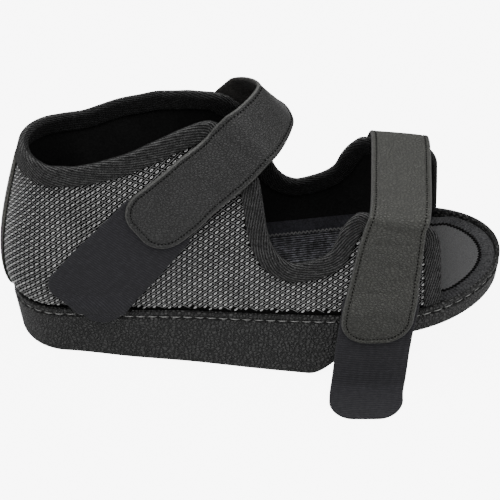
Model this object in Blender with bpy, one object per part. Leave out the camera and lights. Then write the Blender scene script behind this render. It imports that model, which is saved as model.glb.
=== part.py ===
"""Post operative shoe: wedge sole, open mesh upper, two leather straps and two loop tabs.

Frame: +X from heel to toe, +Z up, -Y the side on which both straps close. The
origin is on the floor, under the middle of the flat base of the wedge. All sizes
below are millimetres; the meshes are made in metres.

Heights over the rim are measured from the top of the sole's lip, which climbs
from heel to toe. The way round the upper is measured along its foot line from the
back of the heel: minus on the near side (-Y), plus on the far side.
"""

import bpy
import numpy as np

METRES_PER_MM = 0.001

# Sole
SOLE_LENGTH = 294.0
BALL_WIDTH = 106.0
BASE_CENTRE = 96.0
HEEL_HEIGHT = 33.8
RIM_CLIMB = 0.0805
TOE_SPRING = 4.0
TOE_SPRING_FROM = 0.796 * SOLE_LENGTH
HEEL_ROUND = 33.0
TOE_ROUND_NEAR = 70.0
TOE_ROUND_FAR = 60.0
FOREFOOT_THICKNESS = 17.0
BLOCK_END = 181.0
BLOCK_FRONT_RUN = 38.0
LIP_WIDTH = 2.6
CUP_DEPTH = 7.0

# Upper
GAP = 0.3
WALL = 3.2
QUARTER_RISE = 116.0
UPPER_FRONT = 0.8724 * SOLE_LENGTH
FRONT_CORNER = 12.0
LEAN_POWER = 1.5
SWELL_SHARE = 0.88
SWELL_POWER = 0.55
SWELL_FROM = 1.0
FOOT_INSET = LIP_WIDTH + GAP

# Insole
INSOLE_DROP = 2.0
INSOLE_STEP = 0.6
INSOLE_BAND = 9.5
INSOLE_ROUND = 1.0
INSOLE_CLEARS_UPPER = 2.0
INSOLE_WIDENING = 10.0
INSOLE_WIDENS_FROM = UPPER_FRONT + INSOLE_CLEARS_UPPER
INSOLE_WIDENS_TO = INSOLE_WIDENS_FROM + INSOLE_WIDENING

# Edge tape, heel strip, straps and tabs
TAPE_WIDTH = 10.0
TAPE_THICKNESS = 1.0
TAPE_GAP = 0.45
TAPE_FOOT = 0.8
EDGE_STEPS = 106
HEEL_STRIP_WIDTH = 22.0
HEEL_STRIP_THICKNESS = 1.2
HEEL_STRIP_FOOT = 3.0
HEEL_STRIP_GAP = 0.6
STRAP_WIDTH = 42.0
STRAP_THICKNESS = 2.2
STRAP_CORNER = 16.0
STRAP_ROOT_RISE = 2.5
TAB_WIDTH = 50.0
FOREFOOT_TAB_WIDTH = 44.0
TAB_THICKNESS = 2.0
TAB_CORNER = 14.0
FOREFOOT_TAB_BEND = 4.0
FOREFOOT_TAB_RISE = 32.0
TAB_STANDS_OFF = LIP_WIDTH + 4 * GAP
TAB_CLEARS_RIM = 1.0
TAB_ON_WALL = 14.0
STRAP_CLEARS_RIM = 4.0
STRAP_ON_WALL = 24.0
STRAP_CLEARANCE = TAB_THICKNESS + 2.4 * GAP
STRAP_STANDS_OFF = TAB_STANDS_OFF + TAB_THICKNESS + 2 * GAP

# Plan of the sole: shares of SOLE_LENGTH and of BALL_WIDTH.
SOLE_PLAN = (
    # along, half_width, centre
    (0.000, 0.320, 0.000),
    (0.125, 0.335, 0.000),
    (0.255, 0.375, 0.000),
    (0.360, 0.397, 0.000),
    (0.517, 0.447, 0.000),
    (0.592, 0.468, 0.000),
    (0.677, 0.490, 0.003),
    (0.741, 0.500, 0.010),
    (0.860, 0.500, 0.026),
    (1.000, 0.500, 0.045),
)

# Side of the sole from the lip's inner foot outwards and down, in shares of LIP_WIDTH
# and of CUP_DEPTH, then down to the base in shares of FOREFOOT_THICKNESS.
SOLE_SIDE = (
    # inset, over_rim
    (1.00, -1.000),
    (1.00, -0.114),
    (0.73, -0.014),
    (0.27, 0.000),
    (0.04, -0.114),
    (0.00, -0.371),
    (0.35, -0.471),
    (0.35, -0.657),
    (0.04, -0.757),
    (0.12, -1.000),
)
SOLE_BASE = (
    # block_inset, forefoot_inset, over_base
    (0.200, 0.059, 0.200),
    (0.259, 0.094, 0.059),
    (0.353, 0.176, 0.000),
)

# Shape of the upper: share of SOLE_LENGTH, then shares of BALL_WIDTH. The lean is
# how far the wall has come in at QUARTER_RISE, the swell how far it bulges below.
UPPER_SHAPE = (
    # along, lean, swell
    (0.000, 0.108, 0.080),
    (0.070, 0.077, 0.066),
    (0.130, 0.051, 0.038),
    (0.200, 0.035, 0.028),
    (0.285, 0.083, 0.024),
    (0.355, 0.174, 0.017),
    (0.415, 0.245, 0.009),
    (0.500, 0.225, 0.003),
    (0.590, 0.245, 0.000),
    (0.680, 0.276, 0.000),
    (0.780, 0.255, 0.000),
    (1.000, 0.255, 0.000),
)

# Top edge of the upper: share of SOLE_LENGTH, rise over the rim in QUARTER_RISE.
UPPER_EDGE = (
    # along, rise
    (0.000, 0.877),
    (0.068, 0.850),
    (0.105, 0.838),
    (0.143, 0.839),
    (0.184, 0.861),
    (0.221, 0.888),
    (0.262, 0.914),
    (0.299, 0.945),
    (0.330, 0.965),
    (0.364, 0.988),
    (0.401, 1.000),
    (0.425, 0.975),
    (0.449, 0.910),
    (0.476, 0.827),
    (0.501, 0.733),
    (0.511, 0.622),
    (0.520, 0.497),
    (0.529, 0.411),
    (0.543, 0.344),
    (0.561, 0.298),
    (0.582, 0.277),
    (0.612, 0.291),
    (0.639, 0.317),
    (0.658, 0.359),
    (0.673, 0.451),
    (0.689, 0.512),
    (0.708, 0.547),
    (0.728, 0.540),
    (0.745, 0.525),
    (0.762, 0.515),
    (0.803, 0.490),
    (0.840, 0.460),
    (0.873, 0.435),
)

# Section of the edge tape: distance in from the edge and out of the wall.
TAPE_OUTSIDE = (
    # inward, outward
    (TAPE_WIDTH, TAPE_GAP + TAPE_THICKNESS),
    (0.4 * TAPE_THICKNESS, TAPE_GAP + TAPE_THICKNESS),
    (-0.9 * TAPE_THICKNESS, 0.6 * TAPE_THICKNESS),
    (-TAPE_GAP - TAPE_THICKNESS, -WALL / 2),
    (-0.9 * TAPE_THICKNESS, -WALL - 0.6 * TAPE_THICKNESS),
    (0.4 * TAPE_THICKNESS, -WALL - TAPE_GAP - TAPE_THICKNESS),
    (TAPE_WIDTH, -WALL - TAPE_GAP - TAPE_THICKNESS),
)
TAPE_INSIDE = (
    # inward, outward
    (TAPE_WIDTH, TAPE_GAP),
    (0.4 * TAPE_THICKNESS, TAPE_GAP),
    (-TAPE_GAP, 0.8 * TAPE_GAP),
    (-TAPE_GAP, -WALL / 2),
    (-TAPE_GAP, -WALL - 0.8 * TAPE_GAP),
    (0.4 * TAPE_THICKNESS, -WALL - TAPE_GAP),
    (TAPE_WIDTH, -WALL - TAPE_GAP),
)

# Middle line of each strap: share of SOLE_LENGTH, rise over the rim in QUARTER_RISE,
# share of STRAP_WIDTH. The near tip comes first, then up to where it leaves the wall.
ANKLE_STRAP = (
    # along, rise, width
    (0.274, 0.498, 1.02),
    (0.341, 0.622, 1.02),
    (0.396, 0.735, 0.96),
    (0.437, 0.817, 0.90),
    (0.484, 0.941, 0.86),
)
FOREFOOT_STRAP = (
    # along, rise, width
    (0.7466, -0.140, 0.96),
    (0.7490, 0.010, 0.96),
    (0.7565, 0.116, 0.96),
    (0.7640, 0.230, 0.95),
    (0.7714, 0.347, 0.93),
    (0.7790, 0.440, 0.90),
    (0.7835, 0.487, 0.88),
)

# Where each strap is sewn on the far side, and the two edges of its highest line.
ANKLE_STRAP_ROOT = 0.200
FOREFOOT_STRAP_ROOT = 0.757
ANKLE_STRAP_TOP = (
    # along, rise
    (0.502, 1.117),
    (0.572, 0.882),
)
FOREFOOT_STRAP_TOP = (
    # along, rise
    (0.730, 0.577),
    (0.850, 0.511),
)
ANKLE_STRAP_SQUARE = 1.45
FOREFOOT_STRAP_SQUARE = 4.0

# Middle line of the ankle tab, free end first, with shares of TAB_WIDTH.
ANKLE_TAB = (
    # along, rise, width
    (0.140, 0.028, 1.00),
    (0.196, 0.192, 1.00),
    (0.251, 0.356, 0.97),
    (0.317, 0.553, 0.94),
)

# Forefoot tab from its free end on the floor up to the wall: forward place in
# SOLE_LENGTH, distance out of the foot line and height over the floor in HEEL_HEIGHT.
FOREFOOT_TAB = (
    # along, out, height
    (0.729, 1.060, 0.010),
    (0.731, 0.700, 0.010),
    (0.733, 0.420, 0.018),
    (0.736, 0.270, 0.120),
    (0.739, 0.205, 0.330),
    (0.743, 0.150, 0.760),
    (0.748, 0.114, 1.170),
)
FOREFOOT_TAB_TOP = 0.755

# Colour of each node, linear.
COLOURS = {
    "sole": (0.030, 0.030, 0.030),
    "insole": (0.050, 0.050, 0.053),
    "upper": (0.075, 0.075, 0.075),
    "edge_tape": (0.035, 0.035, 0.035),
    "heel_strip": (0.050, 0.050, 0.046),
    "ankle_strap": (0.042, 0.042, 0.041),
    "forefoot_strap": (0.050, 0.050, 0.047),
    "ankle_tab": (0.028, 0.028, 0.028),
    "forefoot_tab": (0.026, 0.026, 0.028),
}


def smooth(table, column, at):
    """Monotone cubic through one column of a table whose first column is the place."""
    place = np.array([row[0] for row in table])
    value = np.array([row[column] for row in table])
    at = np.clip(np.asarray(at, float), place[0], place[-1])
    width = np.diff(place)
    slope = np.diff(value) / width
    bend = np.zeros(len(place))
    same = slope[:-1] * slope[1:] > 0
    before = 2 * width[1:] + width[:-1]
    after = width[1:] + 2 * width[:-1]
    safe = np.where(same, slope[:-1], 1.0), np.where(same, slope[1:], 1.0)
    mean = (before + after) / (before / safe[0] + after / safe[1])
    bend[1:-1] = np.where(same, mean, 0.0)
    bend[0] = slope[0]
    bend[-1] = slope[-1]
    k = np.clip(np.searchsorted(place, at) - 1, 0, len(width) - 1)
    t = (at - place[k]) / width[k]
    lift = value[k] * (1 + 2 * t) * (1 - t) ** 2 + value[k + 1] * t * t * (3 - 2 * t)
    return lift + width[k] * (bend[k] * t * (1 - t) ** 2 - bend[k + 1] * t * t * (1 - t))


def ease(at, start, end):
    """Soft step from 0 at start to 1 at end."""
    t = np.clip((np.asarray(at, float) - start) / (end - start), 0.0, 1.0)
    return t * t * (3 - 2 * t)


def rim_height(along):
    """Height of the lip's top over the floor."""
    spring = np.clip((along - TOE_SPRING_FROM) / (SOLE_LENGTH - TOE_SPRING_FROM), 0, 1.1)
    return HEEL_HEIGHT + RIM_CLIMB * along + TOE_SPRING * spring ** 2


def base_height(along):
    """Height of the underside: flat wedge, rounded front, then the raised forefoot."""
    raised = rim_height(along) - FOREFOOT_THICKNESS
    return raised * ease(along, BLOCK_END, BLOCK_END + BLOCK_FRONT_RUN)


def plan_point(turn, inset):
    """Point of the sole's plan: turn 0 is the heel, minus near side, pi the toe."""
    along = SOLE_LENGTH / 2 * (1 - np.cos(turn))
    share = along / SOLE_LENGTH
    half = BALL_WIDTH * smooth(SOLE_PLAN, 1, share)
    heel = np.clip(1 - along / HEEL_ROUND, 0, 1)
    side = np.where(np.sin(turn) < 0, -1.0, 1.0)
    toe_round = np.where(side < 0, TOE_ROUND_NEAR, TOE_ROUND_FAR)
    toe = np.clip(1 - (SOLE_LENGTH - along) / toe_round, 0, 1)
    half = half * np.sqrt(1 - heel ** 2) * np.sqrt(1 - toe ** 2)
    across = BALL_WIDTH * smooth(SOLE_PLAN, 2, share) + side * half
    if inset is None:
        return np.stack([along, across], axis=-1)
    step = 0.004
    ahead = plan_point(turn + step, None)
    behind = plan_point(turn - step, None)
    way = ahead - behind
    way /= np.linalg.norm(way, axis=-1, keepdims=True)
    outward = np.stack([-way[:, 1], way[:, 0]], axis=-1)
    return np.stack([along, across], axis=-1) - outward * np.asarray(inset)[..., None]


def foot_line():
    """Foot line of the upper, from the near toe round the heel: way, plan, outward."""
    turn = np.linspace(-np.pi + 0.02, np.pi - 0.02, 1601)
    plan = plan_point(turn, np.full(turn.shape, FOOT_INSET))
    inner = plan_point(turn, np.full(turn.shape, FOOT_INSET + 1.0))
    steps = np.linalg.norm(np.diff(plan, axis=0), axis=1)
    way = np.concatenate([[0.0], np.cumsum(steps)])
    return way - np.interp(0.0, turn, way), plan, plan - inner


WAY, FOOT_PLAN, FOOT_OUTWARD = foot_line()


def way_to(along, side):
    """Way round the upper to a forward distance, on the near (-1) or far (+1) side."""
    half = WAY * side >= 0
    order = np.argsort(FOOT_PLAN[half, 0])
    return np.interp(along, FOOT_PLAN[half, 0][order], WAY[half][order])


def wall_face(way, up):
    """Outer face of the upper at a way round it and a height over the rim."""
    plan = np.stack([np.interp(way, WAY, FOOT_PLAN[:, k]) for k in (0, 1)], axis=-1)
    outward = np.stack([np.interp(way, WAY, FOOT_OUTWARD[:, k]) for k in (0, 1)], axis=-1)
    share = plan[..., 0] / SOLE_LENGTH
    rise = np.clip(up - SWELL_FROM, 0.0, None) / QUARTER_RISE
    lean = smooth(UPPER_SHAPE, 1, share) * rise ** LEAN_POWER
    bulge = np.clip(rise / SWELL_SHARE, 0, 1) ** SWELL_POWER
    swell = smooth(UPPER_SHAPE, 2, share) * np.sin(np.pi * bulge)
    flat = plan - outward * (lean - swell)[..., None] * BALL_WIDTH
    height = rim_height(plan[..., 0]) + up
    return np.concatenate([flat, height[..., None]], axis=-1)


def wall(way, up, out):
    """Point at a distance out of the upper's outer face, square to that face."""
    way, up, out = np.broadcast_arrays(*(np.asarray(v, float) for v in (way, up, out)))
    step = WALL / 3
    along = wall_face(way + step, up) - wall_face(way - step, up)
    rise = wall_face(way, up + step) - wall_face(way, up - step)
    square = np.cross(rise, along)
    square /= np.linalg.norm(square, axis=-1, keepdims=True)
    return wall_face(way, up) + square * out[..., None]


def edge_height(way):
    """Height of the upper's top edge over the rim, with its rounded front corners."""
    along = np.interp(way, WAY, FOOT_PLAN[:, 0])
    height = QUARTER_RISE * smooth(UPPER_EDGE, 1, along / SOLE_LENGTH)
    end = np.where(way < 0, -way_to(UPPER_FRONT, -1), way_to(UPPER_FRONT, 1))
    past = np.clip(np.abs(way) - end + FRONT_CORNER, 0, FRONT_CORNER)
    return height - FRONT_CORNER + np.sqrt(FRONT_CORNER ** 2 - past ** 2)


def edge_path(count, foot):
    """Evenly spaced places along the upper's edge, from one front foot to the other."""
    near = way_to(UPPER_FRONT, -1)
    far = way_to(UPPER_FRONT, 1)
    bow = np.sin(np.linspace(-np.pi / 2, np.pi / 2, 4001))
    way = near + (far - near) * (bow + 1) / 2
    up = edge_height(way)
    way = np.concatenate([[near], way, [far]])
    up = np.concatenate([[foot], up, [foot]])
    length = np.concatenate([[0.0], np.cumsum(np.hypot(np.diff(way), np.diff(up)))])
    at = np.linspace(0.0, length[-1], count)
    return np.interp(at, length, way), np.interp(at, length, up)


def new_object(name, points, faces):
    """Mesh object in metres from points in millimetres, its faces turned outwards."""
    points = np.asarray(points, float).reshape(-1, 3)
    volume = 0.0
    for face in faces:
        for k in range(1, len(face) - 1):
            a, b, c = (points[face[i]] for i in (0, k, k + 1))
            volume += float(np.dot(a, np.cross(b, c)))
    if volume < 0:
        faces = [tuple(reversed(face)) for face in faces]
    points = (points - [BASE_CENTRE, 0.0, 0.0]) * METRES_PER_MM
    mesh = bpy.data.meshes.new(name)
    mesh.from_pydata(points.tolist(), [], faces)
    mesh.update()
    item = bpy.data.objects.new(name, mesh)
    bpy.context.scene.collection.objects.link(item)
    material = bpy.data.materials.new(name)
    material.use_nodes = True
    shader = material.node_tree.nodes["Principled BSDF"]
    shader.inputs["Base Color"].default_value = (*COLOURS[name], 1.0)
    shader.inputs["Roughness"].default_value = 0.7
    mesh.materials.append(material)
    return item


def new_shell(name, outer, inner):
    """Closed sheet between two grids of points with the same rows and columns."""
    rows, columns = outer.shape[:2]
    size = rows * columns

    def at(row, column, side):
        return side * size + row * columns + column

    faces = []
    for r in range(rows - 1):
        for c in range(columns - 1):
            faces.append((at(r, c, 0), at(r, c + 1, 0), at(r + 1, c + 1, 0), at(r + 1, c, 0)))
            faces.append((at(r, c, 1), at(r + 1, c, 1), at(r + 1, c + 1, 1), at(r, c + 1, 1)))
    for c in range(columns - 1):
        faces.append((at(0, c + 1, 0), at(0, c, 0), at(0, c, 1), at(0, c + 1, 1)))
        last = rows - 1
        faces.append((at(last, c, 0), at(last, c + 1, 0), at(last, c + 1, 1), at(last, c, 1)))
    for r in range(rows - 1):
        faces.append((at(r, 0, 0), at(r + 1, 0, 0), at(r + 1, 0, 1), at(r, 0, 1)))
        last = columns - 1
        faces.append((at(r + 1, last, 0), at(r, last, 0), at(r, last, 1), at(r + 1, last, 1)))
    return new_object(name, np.concatenate([outer.reshape(-1, 3), inner.reshape(-1, 3)]), faces)


def new_stack(name, rings):
    """Closed body through rings that share the sole's turns, heel first, capped."""
    count = len(rings[0])
    faces = []
    for k in range(len(rings) - 1):
        for i in range(count):
            j = (i + 1) % count
            faces.append((k * count + i, k * count + j, (k + 1) * count + j, (k + 1) * count + i))
    for k, turned in ((0, True), (len(rings) - 1, False)):
        base = k * count
        for i in range(count // 2):
            j = (count - i) % count
            quad = [base + i, base + i + 1, base + j - 1 if j else base + count - 1, base + j]
            face = tuple(dict.fromkeys(quad))
            if len(face) > 2:
                faces.append(tuple(reversed(face)) if turned else face)
    return new_object(name, np.concatenate(rings), faces)


def sole_turns():
    """Turns round the plan, the same on both sides, closer where the form changes."""
    even = np.linspace(0.0, np.pi, 33)
    front = BLOCK_END + BLOCK_FRONT_RUN * np.linspace(0.0, 1.0, 9)
    widening = (INSOLE_WIDENS_FROM, INSOLE_WIDENS_TO)
    extra = np.arccos(1 - 2 * np.append(front, widening) / SOLE_LENGTH)
    half = [t for t in even if np.min(np.abs(extra - t)) > 0.03]
    half = np.sort(np.concatenate([half, extra]))
    return np.concatenate([-half, half[-2:0:-1]])


def make_sole():
    """Wedge sole with a lip, a stitched groove and a raised, springing forefoot."""
    turn = sole_turns()
    rings = []
    for inset, over_rim in SOLE_SIDE:
        plan = plan_point(turn, np.full(turn.shape, inset * LIP_WIDTH))
        rings.append(np.column_stack([plan, rim_height(plan[:, 0]) + over_rim * CUP_DEPTH]))
    along = plan_point(turn, None)[:, 0]
    raised = ease(along, BLOCK_END, BLOCK_END + BLOCK_FRONT_RUN)
    for block_inset, forefoot_inset, over_base in SOLE_BASE:
        inset = block_inset + (forefoot_inset - block_inset) * raised
        plan = plan_point(turn, inset * FOREFOOT_THICKNESS)
        height = base_height(plan[:, 0]) + over_base * FOREFOOT_THICKNESS
        rings.append(np.column_stack([plan, height]))
    return new_stack("sole", rings)


def make_insole():
    """Insole lying in the sole's cup, its bound edge a little proud of the panel."""
    turn = sole_turns()
    along = plan_point(turn, np.full(turn.shape, FOOT_INSET))[:, 0]
    inside = FOOT_INSET + WALL + GAP
    at_toe = LIP_WIDTH + GAP
    edge = inside + (at_toe - inside) * ease(along, INSOLE_WIDENS_FROM, INSOLE_WIDENS_TO)
    profile = (
        (0.0, GAP - CUP_DEPTH),
        (0.0, -INSOLE_DROP - INSOLE_ROUND),
        (INSOLE_ROUND, -INSOLE_DROP - 0.2 * INSOLE_ROUND),
        (3 * INSOLE_ROUND, -INSOLE_DROP),
        (INSOLE_BAND - INSOLE_ROUND, -INSOLE_DROP),
        (INSOLE_BAND, -INSOLE_DROP - INSOLE_STEP),
    )
    rings = []
    for inset, over_rim in profile:
        plan = plan_point(turn, edge + inset)
        rings.append(np.column_stack([plan, rim_height(plan[:, 0]) + over_rim]))
    return new_stack("insole", rings)


def make_upper():
    """Hollow upper: heel, quarters and forefoot wings in one wall, open at the toe."""
    way, up = edge_path(EDGE_STEPS, TAPE_FOOT)
    ends = np.array([way[0], way[-1]])
    inside = (way > ends[0] + GAP) & (way < ends[1] - GAP)
    corner = edge_height(ends)
    way = np.concatenate([ends[:1], way[inside], ends[1:]])
    up = np.concatenate([corner[:1], up[inside], corner[1:]])
    shares = (0.0, 0.035, 0.1, 0.25, 0.5, 0.75, 1.0)
    heights = [np.full(way.shape, GAP - CUP_DEPTH)]
    heights += [up * share for share in shares]
    heights = np.array(heights)
    way = np.broadcast_to(way, heights.shape)
    return new_shell("upper", wall(way, heights, 0.0), wall(way, heights, -WALL))


def make_edge_tape():
    """Tape folded over the whole edge of the upper."""
    way, up = edge_path(EDGE_STEPS, TAPE_FOOT)
    along = np.gradient(way)
    rise = np.gradient(up)
    length = np.hypot(along, rise)
    grids = []
    for section in (TAPE_OUTSIDE, TAPE_INSIDE):
        rows = []
        for inward, outward in section:
            rows.append(wall(way + inward * rise / length, up - inward * along / length, outward))
        grids.append(np.array(rows))
    return new_shell("edge_tape", grids[0], grids[1])


def make_heel_strip():
    """Strip down the back of the heel, from the edge tape to the sole."""
    way = np.linspace(-0.5, 0.5, 5) * HEEL_STRIP_WIDTH
    top = edge_height(way) - TAPE_WIDTH - GAP
    shares = np.linspace(0.0, 1.0, 10)[:, None]
    up = HEEL_STRIP_FOOT + (top - HEEL_STRIP_FOOT) * shares
    way = np.broadcast_to(way, up.shape)
    under = wall(way, up, HEEL_STRIP_GAP)
    return new_shell("heel_strip", wall(way, up, HEEL_STRIP_GAP + HEEL_STRIP_THICKNESS), under)


def middle_line(rows, side, full_width, count, corner):
    """Rows (way, up) and widths along half a band, evenly spaced along its middle.

    The first row is the band's end, with its two corners rounded to a radius.
    """
    table = []
    gone = 0.0
    for along, rise, width in rows:
        place = (float(way_to(along * SOLE_LENGTH, side)), rise * QUARTER_RISE)
        if table:
            gone += float(np.hypot(place[0] - table[-1][1], place[1] - table[-1][2]))
        table.append((gone, *place, width * full_width))
    at = np.linspace(corner, gone, count)
    lost = np.zeros(count)
    if corner:
        turn = np.linspace(0.12, np.pi / 2, 6)[:-1]
        at = np.concatenate([corner * (1 - np.cos(turn)), at])
        lost = np.concatenate([2 * corner * (1 - np.sin(turn)), lost])
    way, up, width = (smooth(table, column, at) for column in (1, 2, 3))
    return np.stack([way, up], axis=-1), width - lost


def across(path, widths, columns, level):
    """Places (way, up) across a band, its rows square to the path or, where level is 1, level."""
    ahead = np.gradient(path, axis=0)
    ahead /= np.linalg.norm(ahead, axis=1, keepdims=True)
    square = np.stack([ahead[:, 1], -ahead[:, 0]], axis=-1)
    flat = np.stack([1 / ahead[:, 1], np.zeros(len(path))], axis=-1)
    square = square + (flat - square) * np.asarray(level)[:, None]
    shares = np.linspace(-0.5, 0.5, columns)
    spread = widths[:, None] * shares[None, :]
    return path[:, None, :] + square[:, None, :] * spread[..., None]


def strap_grid(rows, root, root_out, top, squareness, columns=6):
    """Under face of a strap: near tip, over the opening, and down to its far root.

    root is the forward share of its sewn end and root_out how far that lies off the wall.
    """
    path, widths = middle_line(rows, -1, STRAP_WIDTH, 9, STRAP_CORNER)
    place = across(path, widths, columns, np.zeros(len(path)))
    stand = STRAP_STANDS_OFF - STRAP_CLEARANCE
    out = STRAP_CLEARANCE + stand * (1 - ease(place[..., 1], STRAP_CLEARS_RIM, STRAP_ON_WALL))
    near = wall(place[..., 0], place[..., 1], out)
    start = (root, STRAP_ROOT_RISE / QUARTER_RISE, 1.0)
    far_rows = (start,) + tuple(row for row in rows[1:] if row[1] > 0.1)
    path, widths = middle_line(far_rows, 1, STRAP_WIDTH, 10, 0.0)
    place = across(path, widths, columns, 1 - ease(np.arange(10), 0.0, 6.0))[:, ::-1]
    off_tab = ease(place[..., 1] / QUARTER_RISE, 0.2, 0.5)
    out = root_out + (STRAP_CLEARANCE - root_out) * off_tab
    far = wall(place[..., 0], place[..., 1], out)[::-1]
    shares = np.linspace(1.0, 0.0, columns)
    along = SOLE_LENGTH * np.interp(shares, (0, 1), (top[0][0], top[1][0]))
    rise = QUARTER_RISE * np.interp(shares, (0, 1), (top[0][1], top[1][1]))
    middle = (near[-1] + far[0]) / 2
    crest = np.stack([along, middle[:, 1], rim_height(along) + rise], axis=-1)
    turn = np.linspace(0.0, np.pi, 17)[1:-1, None, None]
    side = np.sign(np.cos(turn)) * np.abs(np.cos(turn)) ** (2 / squareness)
    lift = np.sin(turn) ** (2 / squareness)
    over = middle + (near[-1] - far[0]) / 2 * side + (crest - middle) * lift
    return np.concatenate([near, over, far])


def make_sheet(name, under, thickness):
    """Closed sheet on a grid that is its under face, thickened away from the foot.

    The last row lies on one side of the shoe, which tells the way out.
    """
    square = np.cross(np.gradient(under, axis=0), np.gradient(under, axis=1))
    square /= np.linalg.norm(square, axis=-1, keepdims=True)
    middle = under.shape[1] // 2
    way_out = np.sign(square[-1, middle, 1] * under[-1, middle, 1])
    return new_shell(name, under + square * thickness * way_out, under)


def make_straps():
    """Ankle and forefoot straps."""
    on_wall = 2 * GAP
    over_tape = TAPE_GAP + TAPE_THICKNESS + 2 * GAP
    shape = (ANKLE_STRAP_TOP, ANKLE_STRAP_SQUARE)
    grid = strap_grid(ANKLE_STRAP, ANKLE_STRAP_ROOT, on_wall, *shape)
    make_sheet("ankle_strap", grid, STRAP_THICKNESS)
    shape = (FOREFOOT_STRAP_TOP, FOREFOOT_STRAP_SQUARE)
    grid = strap_grid(FOREFOOT_STRAP, FOREFOOT_STRAP_ROOT, over_tape, *shape)
    make_sheet("forefoot_strap", grid, STRAP_THICKNESS)


def make_ankle_tab():
    """Loop tab under the ankle strap, its free end outside the sole's rim."""
    path, widths = middle_line(ANKLE_TAB, -1, TAB_WIDTH, 12, TAB_CORNER)
    place = across(path, widths, 6, np.zeros(len(path)))
    on_wall = ease(place[..., 1], TAB_CLEARS_RIM, TAB_ON_WALL)
    out = GAP + (TAB_STANDS_OFF - GAP) * (1 - on_wall)
    under = wall(place[..., 0], place[..., 1], out)
    return make_sheet("ankle_tab", under, TAB_THICKNESS)


def make_forefoot_tab():
    """Loop tab that hangs down the side of the sole and ends flat on the floor."""
    table = []
    gone = 0.0
    for along, out, height in FOREFOOT_TAB:
        row = (along * SOLE_LENGTH, out * HEEL_HEIGHT, height * HEEL_HEIGHT)
        if table:
            gone += float(np.hypot(row[1] - table[-1][2], row[2] - table[-1][3]))
        table.append((gone, *row))
    turn = np.linspace(0.12, np.pi / 2, 6)[:-1]
    at = np.concatenate([TAB_CORNER * (1 - np.cos(turn)), np.linspace(TAB_CORNER, gone, 15)])
    lost = np.concatenate([2 * TAB_CORNER * (1 - np.sin(turn)), np.zeros(15)])
    along, out, height = (smooth(table, column, at) for column in (1, 2, 3))
    shares = np.linspace(-0.5, 0.5, 6)
    centre = float(way_to(FOREFOOT_TAB_TOP * SOLE_LENGTH, -1))
    foot = np.array([np.interp(centre, WAY, FOOT_PLAN[:, k]) for k in (0, 1)])
    outward = np.array([np.interp(centre, WAY, FOOT_OUTWARD[:, k]) for k in (0, 1)])
    forward = np.array([-outward[1], outward[0]])
    way = centre - (FOREFOOT_TAB_WIDTH - lost)[:, None] * shares
    plan = np.stack([np.interp(way, WAY, FOOT_PLAN[:, k]) for k in (0, 1)], axis=-1)
    hanging = plan + forward * (along - foot[0])[:, None, None] + outward * out[:, None, None]
    level = np.broadcast_to(height[:, None, None], way.shape + (1,))
    hanging = np.concatenate([hanging, level], axis=-1)
    up = np.linspace(FOREFOOT_TAB_BEND, FOREFOOT_TAB_RISE, 5)[:, None]
    way = centre - FOREFOOT_TAB_WIDTH * shares
    stand = GAP + (TAB_STANDS_OFF - GAP) * (1 - ease(up, TAB_CLEARS_RIM, TAB_ON_WALL))
    lying = wall(way, up, stand)
    return make_sheet("forefoot_tab", np.concatenate([hanging, lying]), TAB_THICKNESS)


def main():
    """Clear the scene and build every piece."""
    for item in list(bpy.data.objects):
        bpy.data.objects.remove(item, do_unlink=True)
    make_sole()
    make_insole()
    make_upper()
    make_edge_tape()
    make_heel_strip()
    make_straps()
    make_ankle_tab()
    make_forefoot_tab()


main()
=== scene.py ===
"""Looks of the post operative shoe: wedge sole, open mesh upper, two straps and two loop tabs.

Each sub-assembly is a class with its own sizes. Shapes are grids worked out with numpy
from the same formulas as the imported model. Sizes are in millimetres and become metres
as a mesh is made. "along" is the distance forward from the back of the sole, "way" the
distance round the upper's foot line from the back of the heel (minus on the near side,
plus on the far side) and "up" the height over the sole's rim.
"""
import logging
import math
from dataclasses import dataclass
from enum import Enum

import bpy
import bmesh
import numpy as np
from mathutils import Matrix

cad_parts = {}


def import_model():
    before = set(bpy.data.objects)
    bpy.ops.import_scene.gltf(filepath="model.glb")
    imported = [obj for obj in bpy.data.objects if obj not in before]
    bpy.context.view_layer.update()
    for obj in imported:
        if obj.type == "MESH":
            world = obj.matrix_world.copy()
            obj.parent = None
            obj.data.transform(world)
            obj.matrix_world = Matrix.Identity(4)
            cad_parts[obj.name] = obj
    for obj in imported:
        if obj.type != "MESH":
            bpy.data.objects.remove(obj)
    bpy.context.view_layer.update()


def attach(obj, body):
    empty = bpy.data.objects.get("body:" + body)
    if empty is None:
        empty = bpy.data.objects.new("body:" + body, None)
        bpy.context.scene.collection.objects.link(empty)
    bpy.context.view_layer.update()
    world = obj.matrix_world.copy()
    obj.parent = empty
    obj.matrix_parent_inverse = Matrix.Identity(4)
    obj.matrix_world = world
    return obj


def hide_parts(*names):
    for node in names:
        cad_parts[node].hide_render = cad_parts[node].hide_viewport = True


log = logging.getLogger("shoe")

Table = tuple[tuple[float, ...], ...]
MM = 0.001


class Side(Enum):
    """Side of the shoe on which a piece is worked out."""

    NEAR = -1
    FAR = 1


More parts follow.
